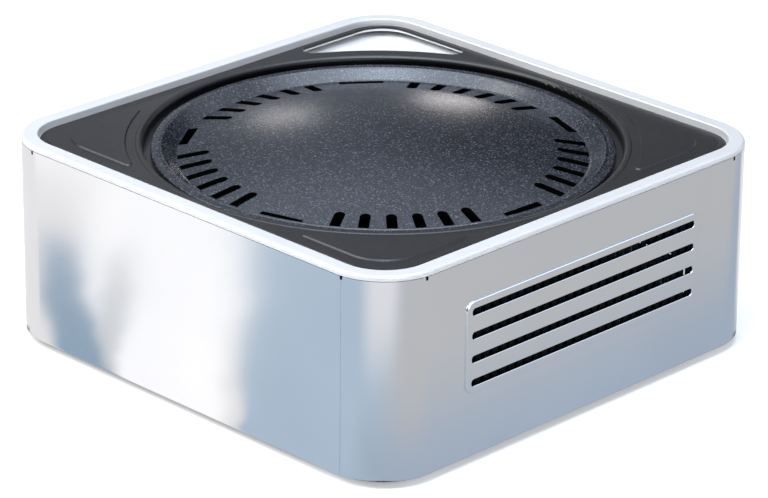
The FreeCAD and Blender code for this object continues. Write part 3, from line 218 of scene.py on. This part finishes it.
def finishPiece(piece, material, body, node):
    piece.data.materials.clear()
    piece.data.materials.append(materials[material])
    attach(piece, body)
    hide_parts(node)


def bakeModifiers(piece):
    bpy.context.view_layer.update()
    graph = bpy.context.evaluated_depsgraph_get()
    mesh = bpy.data.meshes.new_from_object(piece.evaluated_get(graph))
    piece.modifiers.clear()
    piece.data = mesh


def smoothAbove(piece, angle):
    piece.data.shade_smooth()
    piece.data.set_sharp_from_angle(angle=math.radians(angle))


def steadyNormals(piece, angle):
    # flat faces stay flat beside rounded ones
    smoothAbove(piece, angle)
    weighted = piece.modifiers.new("normals", "WEIGHTED_NORMAL")
    weighted.weight = finish["normalWeight"]
    weighted.keep_sharp = True
    bakeModifiers(piece)


def markSootAndShade(piece, sootyAndShaded):
    # faces painted dark: soot from the fire, and painted shade in the slots, the tray's well and inside the
    # walls
    marks = piece.data.attributes.new("sootAndShade", "FLOAT", "FACE")
    for face in piece.data.polygons:
        marks.data[face.index].value = float(sootyAndShaded(face))


def facesAxis(face):
    return face.normal.xy.dot(face.center.xy) < 0


# the walls' inner faces: soot and painted shade inside the housing
def insideWalls(face):
    return max(map(abs, face.center.xy)) < sootAndShade["walls"] * mm and facesAxis(face)


# the tray's well wall: a deep crevice, painted dark as shade
def insideWell(face):
    return face.center.xy.length < sootAndShade["well"] * mm and face.normal.z < sootAndShade["wellTilt"] and facesAxis(face)


# the plate's slot walls: soot and painted shade in the narrow slots
def insideSlots(face):
    near, far = sootAndShade["slots"] * mm, plate["domeFoot"] * mm
    return abs(face.normal.z) < sootAndShade["slotTilt"] and near < face.center.xy.length < far


def sheetPiece(node, name, material, body, sootyAndShaded=None):
    # the solid's own shape with merged corners, large faces and even shading
    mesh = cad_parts[node].data.copy()
    mesh.name = name
    if "custom_normal" in mesh.attributes:
        mesh.attributes.remove(mesh.attributes["custom_normal"])
    shell = bmesh.new()
    shell.from_mesh(mesh)
    bmesh.ops.remove_doubles(shell, verts=shell.verts, dist=finish["merge"] * mm)
    bmesh.ops.dissolve_limit(shell, angle_limit=finish["flatAngle"], verts=shell.verts, edges=shell.edges)
    shell.to_mesh(mesh)
    shell.free()
    piece = blankPiece(name, mesh)
    steadyNormals(piece, finish["sheetSharp"])
    if sootyAndShaded:
        markSootAndShade(piece, sootyAndShaded)
    finishPiece(piece, material, body, node)


# outlines and blanks, in mm

def roundCorners(corners, steps=4):
    # closed outline of (radius, height, rounding) corners, with every corner rounded
    outline = []
    for index, (x, z, rounding) in enumerate(corners):
        here = Vector((x, z))
        before = Vector(corners[index - 1][:2]) - here
        after = Vector(corners[(index + 1) % len(corners)][:2]) - here
        reach = min(rounding, *(finish["cornerShare"] * side.length for side in (before, after)))
        if reach < finish["smallest"]:
            outline.append((x, z))
            continue
        start = here + before.normalized() * reach
        end = here + after.normalized() * reach
        for step in range(steps + 1):
            share = step / steps
            spot = start * (1 - share) ** 2 + here * 2 * share * (1 - share) + end * share ** 2
            outline.append((spot.x, spot.y))
    return outline


def circle(radius, across=0.0, segments=32):
    return [(across + radius * math.cos(2 * math.pi * turn / segments),
             radius * math.sin(2 * math.pi * turn / segments)) for turn in range(segments)]


def rectangle(low, high):
    return [(low[0], low[1]), (high[0], low[1]), (high[0], high[1]), (low[0], high[1])]


def roundedRectangle(halfAcross, halfUp, corner, step=15):
    outline = []
    for across, up, start in ((1, 1, 0), (-1, 1, 90), (-1, -1, 180), (1, -1, 270)):
        for turn in range(0, 91, step):
            angle = math.radians(start + turn)
            outline.append((across * (halfAcross - corner) + corner * math.cos(angle),
                            up * (halfUp - corner) + corner * math.sin(angle)))
    return outline


def shellMesh(name, shell):
    bmesh.ops.recalc_face_normals(shell, faces=shell.faces)
    mesh = bpy.data.meshes.new(name)
    shell.to_mesh(mesh)
    shell.free()
    return mesh


def turnedMesh(name, outline, segments):
    # closed outline turned about the upright axis
    shell = bmesh.new()
    rings = []
    for radius, height in outline:
        count = segments if radius > finish["smallest"] else 1
        rings.append([shell.verts.new((radius * mm * math.cos(2 * math.pi * turn / count),
                                       radius * mm * math.sin(2 * math.pi * turn / count), height * mm))
                      for turn in range(count)])
    for index, near in enumerate(rings):
        far = rings[(index + 1) % len(rings)]
        for turn in range(segments):
            ring = [near[turn % len(near)], near[(turn + 1) % len(near)],
                    far[(turn + 1) % len(far)], far[turn % len(far)]]
            corners = list(dict.fromkeys(ring))
            if len(corners) > 2:
                shell.faces.new(corners)
    return shellMesh(name, shell)


def prismMesh(name, outline, low, high):
    # flat outline drawn up between two heights
    shell = bmesh.new()
    bottom = [shell.verts.new((x * mm, y * mm, low * mm)) for x, y in outline]
    top = [shell.verts.new((x * mm, y * mm, high * mm)) for x, y in outline]
    shell.faces.new(bottom[::-1])
    shell.faces.new(top)
    for index in range(len(outline)):
        following = (index + 1) % len(outline)
        shell.faces.new((bottom[index], bottom[following], top[following], top[index]))
    return shellMesh(name, shell)


def sideDrill(radius, reach, height):
    # round bar that lies along +X
    mesh = prismMesh("drill", circle(radius), *reach)
    mesh.transform(Matrix.Translation((0, 0, height * mm)) @ Matrix.Rotation(math.radians(90), 4, "Y"))
    return mesh


# Geometry Nodes: copies of one tool shape, loose or cut out of a blank

def newTree(name, **sizes):
    tree = bpy.data.node_groups.new(name, "GeometryNodeTree")
    sockets = {"Blank": "Geometry", "Tool": "Object", **sizes, "Material": "Material"}
    for label, kind in sockets.items():
        tree.interface.new_socket(label, in_out="INPUT", socket_type="NodeSocket" + kind)
    tree.interface.new_socket("Result", in_out="OUTPUT", socket_type="NodeSocketGeometry")
    return tree, addNode(tree, "NodeGroupInput").outputs


def finishTree(tree, given, cutting, count, place, turn=(0, 0, 0)):
    points = addNode(tree, "GeometryNodePoints", {"Count": count, "Position": place})
    tool = addNode(tree, "GeometryNodeObjectInfo", {"Object": given["Tool"]})
    copies = addNode(tree, "GeometryNodeInstanceOnPoints", {
        "Points": points.outputs[0], "Instance": tool.outputs["Geometry"], "Rotation": turn})
    whole = addNode(tree, "GeometryNodeRealizeInstances", {"Geometry": copies.outputs[0]}).outputs[0]
    if cutting:
        cut = addNode(tree, "GeometryNodeMeshBoolean", {"Mesh 1": given["Blank"], "Mesh 2": whole},
                      operation="DIFFERENCE", solver="EXACT")
        whole = addNode(tree, "GeometryNodeRealizeInstances", {"Geometry": cut.outputs[0]}).outputs[0]
    painted = addNode(tree, "GeometryNodeSetMaterial", {"Geometry": whole, "Material": given["Material"]})
    addNode(tree, "NodeGroupOutput", {"Result": painted.outputs[0]})


def ringTree(name, cutting):
    # copies around the upright axis, in groups
    tree, given = newTree(name, Count="Int", PerGroup="Int", Radius="Float", Start="Float", Step="Float",
                          GroupStep="Float")
    calculate = calculator(tree)
    index = addNode(tree, "GeometryNodeInputIndex").outputs[0]
    inGroup = calculate("MULTIPLY", calculate("MODULO", index, given["PerGroup"]), given["Step"])
    group = calculate("FLOOR", calculate("DIVIDE", calculate("ADD", index, 0.5), given["PerGroup"]))
    degrees = calculate("ADD", calculate("ADD", given["Start"], inGroup),
                        calculate("MULTIPLY", group, given["GroupStep"]))
    angle = calculate("RADIANS", degrees)
    place = addNode(tree, "ShaderNodeCombineXYZ", {
        "X": calculate("MULTIPLY", calculate("COSINE", angle), given["Radius"]),
        "Y": calculate("MULTIPLY", calculate("SINE", angle), given["Radius"])})
    turn = addNode(tree, "ShaderNodeCombineXYZ", {"Z": angle})
    finishTree(tree, given, cutting, given["Count"], place.outputs[0], turn.outputs[0])
    return tree


def slitTree():
    # rows of upright slits cut out of a screen that faces +X or -X
    tree, given = newTree("slitScreen", Columns="Int", Rows="Int", Pitch="Float", RowPitch="Float",
                          Middle="Float")
    calculate = calculator(tree)

    def centred(number, total, pitch):
        middle = calculate("DIVIDE", calculate("SUBTRACT", total, 1.0), 2.0)
        return calculate("MULTIPLY", calculate("SUBTRACT", number, middle), pitch)
    index = addNode(tree, "GeometryNodeInputIndex").outputs[0]
    row = calculate("FLOOR", calculate("DIVIDE", calculate("ADD", index, 0.5), given["Columns"]))
    column = calculate("SUBTRACT", index, calculate("MULTIPLY", row, given["Columns"]))
    height = calculate("ADD", given["Middle"], centred(row, given["Rows"], given["RowPitch"]))
    place = addNode(tree, "ShaderNodeCombineXYZ", {
        "Y": centred(column, given["Columns"], given["Pitch"]), "Z": height})
    count = calculate("MULTIPLY", given["Columns"], given["Rows"])
    finishTree(tree, given, True, count, place.outputs[0])
    return tree


trees = {"cutRing": ringTree("cutRing", True), "copyRing": ringTree("copyRing", False),
         "cutSlits": slitTree()}


def runTree(piece, tree, toolMesh, material, **sizes):
    tool = blankPiece("tool", toolMesh)
    values = {"Tool": tool, "Material": materials[material], **sizes}
    modifier = piece.modifiers.new(tree, "NODES")
    modifier.node_group = trees[tree]
    for item in trees[tree].interface.items_tree:
        if item.in_out == "INPUT" and item.name in values:
            modifier[item.identifier] = values[item.name]
    bakeModifiers(piece)
    bpy.data.objects.remove(tool)


def runRing(piece, tree, toolMesh, material, groups, start=0.0, perGroup=1, step=0.0, radius=0.0):
    runTree(piece, tree, toolMesh, material, Count=groups * perGroup, PerGroup=perGroup, Radius=radius * mm,
            Start=float(start), Step=float(step), GroupStep=360.0 / groups)


# grill plate

plate = {"crown": 129.8, "dome": 660, "thickness": 3, "domeFoot": 124.6, "ridge": 133.8, "edge": 139.9,
         "flange": 123.9, "segments": 360, "cut": (100, 140),
         # steps under and over the dome, up to this share of its foot
         "domeSteps": (14, 24), "domeShare": 0.97,
         "groups": 5, "groupMiddle": -38.6, "perGroup": 6, "slotStep": 8,
         "slotInner": 104.6, "slotOuter": 123.9, "slotWidth": 6.5, "barWidth": 6, "barLength": 28,
         "underFoot": 0.45, "underRidge": 0.9, "underRounding": (2.5, 2), "edgeRounding": (0.8, 1.1),
         "footRounding": 2.6,
         # the ridge's bead: out from the ridge, up from the flange, rounding
         "bead": [(1.3, 0, 0.5), (0.5, 0.5, 0.4), (-0.5, 0.5, 0.6), (-1.6, -0.25, 0.8)]}


def plateOutline():
    # from the axis along the underside, round the edge, over the ridge's bead and back across the dome
    thick, top, ridge, edge = (plate[part] for part in ("thickness", "flange", "ridge", "edge"))
    foot, share = plate["domeFoot"], plate["domeShare"]
    inward = plate["underFoot"] * thick
    underFoot = foot - inward
    underSteps, overSteps = plate["domeSteps"]

    def domeHeight(radius, drop=0):
        return plate["crown"] - plate["dome"] + math.sqrt((plate["dome"] - drop) ** 2 - radius ** 2)
    under = [underFoot * step / underSteps for step in range(underSteps)]
    over = [foot * share * step / overSteps for step in range(overSteps - 1, -1, -1)]
    rim = roundCorners([
        (underFoot * share, domeHeight(underFoot * share, thick), 0),
        (underFoot, domeHeight(underFoot, thick), plate["underRounding"][0]),
        (ridge - plate["underRidge"] - inward, top - thick, plate["underRounding"][1]),
        (edge, top - thick, plate["edgeRounding"][0]),
        (edge, top, plate["edgeRounding"][1]),
        *((ridge + across, top + rise, rounding) for across, rise, rounding in plate["bead"]),
        (foot, domeHeight(foot), plate["footRounding"]),
        (foot * share, domeHeight(foot * share), 0)], 5)
    return ([(radius, domeHeight(radius, thick)) for radius in under] + rim
            + [(radius, domeHeight(radius)) for radius in over])


def slotOutline():
    # open towards the rim, round towards the axis
    half = plate["slotWidth"] / 2
    bend = plate["slotInner"] + half
    turns = [math.radians(turn) for turn in range(0, 181, 20)]
    return [(plate["slotOuter"], -half), (plate["slotOuter"], half),
            *((bend - half * math.sin(turn), half * math.cos(turn)) for turn in turns)]


def makeGrillPlate():
    piece = blankPiece("grillPlate", turnedMesh("grillPlate", plateOutline(), plate["segments"]))
    start = plate["groupMiddle"] - (plate["perGroup"] - 1) / 2 * plate["slotStep"]
    runRing(piece, "cutRing", prismMesh("slot", slotOutline(), *plate["cut"]), "plateCoating",
            plate["groups"], start, plate["perGroup"], plate["slotStep"])
    reach = plate["barLength"] / 2
    bar = rectangle((plate["slotOuter"] - plate["barWidth"], -reach), (plate["slotOuter"], reach))
    runRing(piece, "cutRing", prismMesh("bar", bar, *plate["cut"]), "plateCoating",
            plate["groups"], plate["groupMiddle"] + 180 / plate["groups"])
    steadyNormals(piece, finish["turnedSharp"])
    # the slot walls get soot and painted shade
    markSootAndShade(piece, insideSlots)
    finishPiece(piece, "plateCoating", "grill_plate", "grill_plate")


makeGrillPlate()
print("grill plate done")


# housing, rim, tray and drawer

# the walls' inner faces and the tray's well wall get soot and painted shade
sheetPiece("housing_wrap", "housingWrap", "housingSteel", "housing", insideWalls)
sheetPiece("top_rim", "topRim", "rimSteel", "housing")
sheetPiece("top_tray", "topTray", "trayEnamel", "top_tray", insideWell)
sheetPiece("ash_drawer", "ashDrawer", "innerSteel", "ash_drawer")
sheetPiece("drawer_front", "drawerFront", "housingSteel", "ash_drawer", insideWalls)
print("housing, rim, tray and drawer done")


# fire bowl, heat shield and grate

bowl = {"floor": 34.5, "radius": 86, "wall": 2, "top": 89.5, "lip": 2.4, "segments": 192,
        "bottomBend": 1.5, "innerBend": 2, "lipBend": 1, "mouthEdge": 0.9,
        "hole": 6, "holeRing": 46, "holes": 8, "holeCut": (30, 50),
        "sideHole": 4, "sideHeight": 68.5, "sideHoles": 12, "sideCut": (80, 100)}
shield = {"foot": 34.5, "inner": 108, "sheet": 1.2, "flange": 118.2, "top": 97.3, "segments": 192,
          "footBend": 1, "flangeEdge": 0.4, "ledgeBend": 0.8, "topEdge": 0.5,
          "hole": 5, "holeHeight": 48.5, "holes": 20, "cut": (100, 115)}


def makeFireBowl():
    floor, top, radius, wall = (bowl[part] for part in ("floor", "top", "radius", "wall"))
    lip = radius + bowl["lip"]
    lipBend = bowl["lipBend"]
    outline = roundCorners([
        (0, floor, 0), (radius, floor, bowl["bottomBend"]), (radius, top - wall, lipBend),
        (lip, top - wall, lipBend), (lip, top, lipBend), (radius - wall, top, bowl["mouthEdge"]),
        (radius - wall, floor + wall, bowl["innerBend"]), (0, floor + wall, 0)])
    piece = blankPiece("fireBowl", turnedMesh("fireBowl", outline, bowl["segments"]))
    for across, holes in ((0, 1), (bowl["holeRing"], bowl["holes"])):
        drill = prismMesh("drill", circle(bowl["hole"], across), *bowl["holeCut"])
        runRing(piece, "cutRing", drill, "bowlEnamel", holes)
    drill = sideDrill(bowl["sideHole"], bowl["sideCut"], bowl["sideHeight"])
    runRing(piece, "cutRing", drill, "bowlEnamel", bowl["sideHoles"])
    steadyNormals(piece, finish["turnedSharp"])
    finishPiece(piece, "bowlEnamel", "fire_bowl", "fire_bowl")


def makeHeatShield():
    foot, top, inner, flange = (shield[part] for part in ("foot", "top", "inner", "flange"))
    outer = inner + shield["sheet"]
    ledge = foot + shield["sheet"]
    flangeEdge, topEdge = shield["flangeEdge"], shield["topEdge"]
    outline = roundCorners([
        (inner, foot, shield["footBend"]), (flange, foot, flangeEdge), (flange, ledge, flangeEdge),
        (outer, ledge, shield["ledgeBend"]), (outer, top, topEdge), (inner, top, topEdge)], 3)
    piece = blankPiece("heatShield", turnedMesh("heatShield", outline, shield["segments"]))
    drill = sideDrill(shield["hole"], shield["cut"], shield["holeHeight"])
    runRing(piece, "cutRing", drill, "sootSteel", shield["holes"])
    steadyNormals(piece, finish["turnedSharp"])
    finishPiece(piece, "sootSteel", "housing", "heat_shield")


makeFireBowl()
makeHeatShield()
sheetPiece("charcoal_grate", "charcoalGrate", "grateIron", "charcoal_grate")
print("fire bowl, heat shield and grate done")


# vent screens: their near-black paint is painted shade for the dark inside behind the vent slots

screen = {"half": 102, "rise": 35.5, "corner": 3, "middle": 72.8, "outer": 163.8, "sheet": 1,
          "slitWidth": 3, "slitHeight": 22, "columns": 27, "pitch": 7, "rows": 2, "rowPitch": 27,
          "beyond": 2}  # how far the slit's tool reaches past the sheet


def makeScreen(side, name, node):
    inner, outer = sorted((side * screen["outer"], side * (screen["outer"] - screen["sheet"])))
    mesh = prismMesh(name, roundedRectangle(screen["half"], screen["rise"], screen["corner"]), inner, outer)
    mesh.transform(Matrix(((0, 0, 1, 0), (1, 0, 0, 0), (0, 1, 0, screen["middle"] * mm), (0, 0, 0, 1))))
    piece = blankPiece(name, mesh)
    wide = screen["slitWidth"] / 2
    tall = screen["slitHeight"] / 2
    slit = rectangle((inner - screen["beyond"], -wide), (outer + screen["beyond"], wide))
    runTree(piece, "cutSlits", prismMesh("slit", slit, -tall, tall), "screenPaintedShade",
            Columns=screen["columns"], Rows=screen["rows"], Pitch=screen["pitch"] * mm,
            RowPitch=screen["rowPitch"] * mm, Middle=screen["middle"] * mm)
    finishPiece(piece, "screenPaintedShade", "housing", node)


makeScreen(1, "ventScreenRight", "vent_screen_right")
makeScreen(-1, "ventScreenLeft", "vent_screen_left")
print("vent screens done")


# screws and rivets: each place is across and along from the axis, and mirrored ones come in pairs

fasteners = {
    "baseScrews": {"node": "base_screws", "place": (155.5, 60), "groups": 4, "mirrored": True,
                   "screw": {"seat": 4, "tip": 8.4, "shank": 2, "head": 3.5, "height": 2}},
    "rimScrews": {"node": "rim_screws", "place": (160, 90), "groups": 4, "mirrored": True,
                  "screw": {"seat": 125.8, "tip": 128.8, "shank": 1.45, "head": 2.8, "height": 1.6}},
    "footScrews": {"node": "foot_screws", "place": (126, 126), "groups": 4, "mirrored": False,
                   "screw": {"seat": 3.6, "tip": 9.8, "shank": 2, "head": 3.5, "height": 2}},
    "shieldRivets": {"node": "shield_rivets", "place": (113.7 * math.sqrt(0.5), 113.7 * math.sqrt(0.5)),
                     "groups": 4, "mirrored": False,
                     "rivet": {"low": 33.3, "high": 35.7}},
    "runnerRivets": {"node": "runner_rivets", "place": (111.2, 85), "groups": 2, "mirrored": True,
                     "rivet": {"low": 32.1, "high": 34.5}},
}
fastenerShape = {"segments": 32, "crown": 0.6, "tip": 0.5, "seatEdge": 0.2, "shankEdge": 0.1,
                 "recessHalf": 0.35, "recessReach": 0.55, "recessDepth": 0.35, "recessAbove": 1,
                 "rivetHead": 3, "rivetTop": 2.3, "rivetShank": 1.6, "rivetRise": 1,
                 "rivetCrown": 0.8, "rivetEdge": 0.3}


def screwMesh(seat, tip, shank, head, height):
    shape = fastenerShape
    top = seat - height
    end = tip - shape["tip"]
    edge = shape["shankEdge"]
    outline = roundCorners([
        (0, top, 0), (head, top, height * shape["crown"]), (head, seat, shape["seatEdge"]),
        (shank, seat, edge), (shank, end, edge), (shank - shape["tip"], tip, edge), (0, tip, 0)])
    piece = blankPiece("screw", turnedMesh("screw", outline, shape["segments"]))
    reach = head * shape["recessReach"]
    half = shape["recessHalf"]
    for turn in (0, 90):
        recess = prismMesh("recess", rectangle((-reach, -half), (reach, half)),
                           top - shape["recessAbove"], seat - height * shape["recessDepth"])
        runRing(piece, "cutRing", recess, "fastenerZinc", 1, turn)
    steadyNormals(piece, finish["turnedSharp"])
    mesh = piece.data
    bpy.data.objects.remove(piece)
    return mesh


def rivetMesh(low, high):
    shape = fastenerShape
    head, top, shank = shape["rivetHead"], shape["rivetTop"], shape["rivetShank"]
    under, over = low - shape["rivetRise"], high + shape["rivetRise"]
    crown, brim, edge = shape["rivetCrown"], shape["rivetEdge"], shape["shankEdge"]
    outline = roundCorners([
        (0, under, 0), (top, under, crown), (head, low, brim), (shank, low, edge),
        (shank, high, edge), (head, high, brim), (top, over, crown), (0, over, 0)])
    return turnedMesh("rivet", outline, shape["segments"])


def makeFasteners(name, look):
    tool = screwMesh(**look["screw"]) if "screw" in look else rivetMesh(**look["rivet"])
    across, along = look["place"]
    radius = math.hypot(across, along)
    angle = math.degrees(math.atan2(along, across))
    piece = blankPiece(name, bpy.data.meshes.new(name))
    if look["mirrored"]:
        runRing(piece, "copyRing", tool, "fastenerZinc", look["groups"], -angle, 2, 2 * angle, radius)
    else:
        runRing(piece, "copyRing", tool, "fastenerZinc", look["groups"], angle, radius=radius)
    smoothAbove(piece, finish["turnedSharp"])
    finishPiece(piece, "fastenerZinc", "housing", look["node"])


for name, look in fasteners.items():
    makeFasteners(name, look)
print("screws and rivets done")


# pieces that keep the solid's own mesh

plainNodes = {
    "innerSteel": ["hearth_plate", "drawer_runner_right", "drawer_runner_left", "base_plate"],
    # the gussets' near white is painted light for the rear corner opening
    "gussetPaintedBright": ["gusset_right", "gusset_rear", "gusset_left", "gusset_front"],
    "footRubber": ["foot_front", "foot_right", "foot_rear", "foot_left"],
    "fastenerZinc": ["foot_nuts", "drawer_nuts", "screen_nuts"],
}
for material, nodes in plainNodes.items():
    for node in nodes:
        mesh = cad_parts[node].data
        if not mesh.materials:
            mesh.materials.append(None)
        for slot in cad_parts[node].material_slots:
            slot.material = materials[material]
print("plain nodes painted")


# floor: pale where the camera or a dull surface meets it; where polished pieces mirror it, it glows with
# painted reflections laid out for the housing's walls and a painted shadow under the grill

floorLook = {
    "size": 8.0, "color": (0.84, 0.84, 0.85), "lift": 0.35,
    # a spot on the wall mirrors the floor this much further across and back for each metre of its height
    "wall": 0.165, "slope": (1.672, 1.695), "corner": 0.137,
    "wobbleScale": 14.0, "wobble": 0.03, "hazeMiddle": -0.070, "streakMiddle": -0.090, "streakLean": 0.6,
    "streakSpread": 0.12, "edgeLean": 0.05,
    "colors": {"white": (1.2, 1.19, 1.2), "blue": (0.48, 0.595, 0.72), "grey": (0.56, 0.565, 0.58),
               "low": (0.41, 0.49, 0.60), "deep": (0.34, 0.45, 0.57), "warm": (0.92, 0.90, 0.91),
               "haze": (0.66, 0.68, 0.71), "shade": (0.002, 0.002, 0.002)},
    # painted reflections: each patch paints a colour where the housing's polished walls mirror the floor
    # colour, strength, and the measures between whose limits it fades in
    "patches": [("warm", 1.0, [("along", 0.02, 0.045), ("up", 0.12, 0.03)]),
                ("warm", 1.0, [("along", -0.095, -0.125), ("up", 0.15, 0.09)]),
                ("haze", 0.8, [("fromHaze", 0.018, 0.004), ("up", 0.10, 0.06)]),
                ("deep", 1.0, [("fromStreak", 0.036, 0.018), ("up", 0.084, 0.060)]),
                ("blue", 1.0, [("leaning", 0.042, 0.055)]),
                ("warm", 0.85, [("bearing", -1.6, -1.0), ("bearing", 0.1, -0.6), ("reach", 0.13, 0.28)])],
    "ventedSide": [("across", 0.12, 0.168), ("back", -0.32, -0.15)], "ventedFade": 0.085,
    "underside": 0.155,
}


def floorMeasures(tree, calculate, look):
    # "along" and "up" are the spot on the front wall that mirrors a floor point, and "side" is the
    # height of that spot on the vented wall
    place = addNode(tree, "ShaderNodeTexCoord").outputs["Object"]
    parts = addNode(tree, "ShaderNodeSeparateXYZ", {"Vector": place})
    across, back = parts.outputs["X"], parts.outputs["Y"]
    noise = addNode(tree, "ShaderNodeTexNoise", {
        "Vector": place, "Scale": look["wobbleScale"], "Detail": texture["grainDetail"]})
    drift = calculate("MULTIPLY", calculate("SUBTRACT", noise.outputs["Fac"], 0.5), look["wobble"])
    up = calculate("DIVIDE", calculate("ADD", back, look["wall"]), -look["slope"][1])
    along = calculate("ADD", calculate("ADD", across, calculate("MULTIPLY", up, look["slope"][0])), drift)
    side = calculate("DIVIDE", calculate("SUBTRACT", across, look["wall"]), look["slope"][0])
    fromHaze = calculate("ABSOLUTE", calculate("SUBTRACT", along, look["hazeMiddle"]))
    lean = calculate("SUBTRACT", calculate("MULTIPLY", up, look["streakLean"]), look["streakMiddle"])
    streak = calculate("ABSOLUTE", calculate("ADD", along, lean))
    fromStreak = calculate("ADD", streak, calculate("MULTIPLY", up, look["streakSpread"]))
    leaning = calculate("ADD", along, calculate("MULTIPLY", up, look["edgeLean"]))
    east = calculate("SUBTRACT", across, look["corner"])
    north = calculate("ADD", back, look["corner"])
    squares = calculate("ADD", calculate("MULTIPLY", east, east), calculate("MULTIPLY", north, north))
    return {"across": across, "back": back, "up": up, "along": along, "side": side, "fromHaze": fromHaze,
            "fromStreak": fromStreak, "leaning": leaning, "bearing": calculate("ARCTAN2", north, east),
            "reach": calculate("SQRT", squares)}


def paintedFloorReflections(tree, look):
    calculate = calculator(tree)
    measures = floorMeasures(tree, calculate, look)
    colors = look["colors"]

    def fades(limits, strength=1.0):
        mask = strength
        for measure, low, high in limits:
            fade = mapRange(tree, measures[measure], low, high, kind="SMOOTHSTEP")
            mask = calculate("MULTIPLY", fade, mask)
        return mask
    color = colors["white"]
    for name, strength, limits in look["patches"]:
        color = mixColors(tree, fades(limits, strength), color, colors[name])
    # painted reflection for the vented wall: grey, and bluish low down
    vented = mixColors(tree, fades([("side", 0.0, look["ventedFade"])]), colors["low"], colors["grey"])
    color = mixColors(tree, fades(look["ventedSide"]), color, vented)
    for measure in ("across", "back"):
        measures[measure] = calculate("ABSOLUTE", measures[measure])
    # painted shadow: black under the grill for mirrored rays
    underneath = fades([(measure, look["wall"], look["underside"]) for measure in ("across", "back")])
    return mixColors(tree, underneath, color, colors["shade"])


def makeFloor(look):
    material = bpy.data.materials.new("floor")
    material.use_nodes = True
    tree = material.node_tree
    tree.nodes.clear()
    paths = addNode(tree, "ShaderNodeLightPath").outputs
    lift = calculator(tree)("MULTIPLY", paths["Is Camera Ray"], look["lift"])
    plain = addNode(tree, "ShaderNodeBsdfDiffuse", {"Color": (*look["color"], 1)})
    glow = addNode(tree, "ShaderNodeEmission", {"Color": (1, 1, 1, 1), "Strength": lift})
    lit = addNode(tree, "ShaderNodeAddShader", {0: plain.outputs[0], 1: glow.outputs[0]})
    mirrored = addNode(tree, "ShaderNodeEmission", {"Color": paintedFloorReflections(tree, look)})
    shown = addNode(tree, "ShaderNodeMixShader", {
        0: paths["Is Glossy Ray"], 1: lit.outputs[0], 2: mirrored.outputs[0]})
    addNode(tree, "ShaderNodeOutputMaterial", {"Surface": shown.outputs[0]})
    half = look["size"] / 2
    corners = [(x, y, 0) for x, y in rectangle((-half, -half), (half, half))]
    mesh = bpy.data.meshes.new("floor")
    mesh.from_pydata(corners, [], [(0, 1, 2, 3)])
    mesh.materials.append(material)
    blankPiece("floor", mesh)


# lamps

lampAim = (0, 0, 0.12)
lamps = {
    "keyLamp": {"place": (-1.7, -1.9, 2.6), "size": 2.6, "power": 112, "color": (1.0, 0.99, 0.97)},
    "topLamp": {"place": (0.45, -0.45, 2.8), "size": 1.0, "power": 42, "color": (0.74, 0.84, 1.0)},
    "fillLamp": {"place": (2.3, -1.1, 1.1), "size": 1.5, "power": 20, "color": (0.92, 0.96, 1.0)},
    "rearLampLeft": {"place": (-1.696, 1.377, 0.638), "size": 0.13, "power": 0.22, "color": (1, 0.96, 0.93)},
    "rearLampRight": {"place": (-1.478, 1.706, 0.412), "size": 0.13, "power": 0.30, "color": (1, 0.95, 0.93)},
}


def makeLamp(name, look):
    lamp = bpy.data.lights.new(name, "AREA")
    lamp.size = look["size"]
    lamp.energy = look["power"]
    lamp.color = look["color"]
    holder = bpy.data.objects.new(name, lamp)
    scene.collection.objects.link(holder)
    place = Vector(look["place"])
    aim = (Vector(lampAim) - place).to_track_quat("-Z", "Y")
    holder.matrix_world = Matrix.Translation(place) @ aim.to_matrix().to_4x4()
    holder.visible_camera = False


# world: polished pieces mirror the sky with this glow, a sum of fades over a ray's height and its way
# to the camera's right

worldLook = {"ambientColor": (0.86, 0.92, 1.0), "ambient": 0.45, "sky": (0.74, 0.84, 1.0),
             "right": (0.712, 0.703, 0.0),
             "glow": [("height", 0.40, 0.68, 0.03, 1.1), ("height", 0.8, 0.97, 0.0, 5.2),
                      ("aside", 0.10, -0.05, 0.0, 0.27), ("aside", 0.45, 0.65, 0.0, 0.6)]}


def makeWorld(look):
    world = bpy.data.worlds.new("studio")
    scene.world = world
    world.use_nodes = True
    tree = world.node_tree
    tree.nodes.clear()
    calculate = calculator(tree)
    paths = addNode(tree, "ShaderNodeLightPath").outputs
    facing = addNode(tree, "ShaderNodeTexCoord").outputs["Generated"]
    aside = addNode(tree, "ShaderNodeVectorMath", {0: facing, 1: look["right"]}, operation="DOT_PRODUCT")
    ways = {"height": addNode(tree, "ShaderNodeSeparateXYZ", {"Vector": facing}).outputs["Z"],
            "aside": aside.outputs["Value"]}
    glow = 0.0
    for way, *limits in look["glow"]:
        glow = calculate("ADD", glow, mapRange(tree, ways[way], *limits, kind="SMOOTHSTEP"))
    ambient = addNode(tree, "ShaderNodeBackground", {
        "Color": (*look["ambientColor"], 1), "Strength": look["ambient"]})
    mirrored = addNode(tree, "ShaderNodeBackground", {"Color": (*look["sky"], 1), "Strength": glow})
    white = addNode(tree, "ShaderNodeBackground", {"Color": (1, 1, 1, 1), "Strength": 1.0})
    plain = addNode(tree, "ShaderNodeMixShader", {
        0: paths["Is Glossy Ray"], 1: ambient.outputs[0], 2: mirrored.outputs[0]})
    seen = calculate("MAXIMUM", paths["Is Camera Ray"], paths["Is Transmission Ray"])
    shown = addNode(tree, "ShaderNodeMixShader", {0: seen, 1: plain.outputs[0], 2: white.outputs[0]})
    addNode(tree, "ShaderNodeOutputWorld", {"Surface": shown.outputs[0]})


makeFloor(floorLook)
for name, look in lamps.items():
    makeLamp(name, look)
makeWorld(worldLook)
print("floor, lamps and world done")
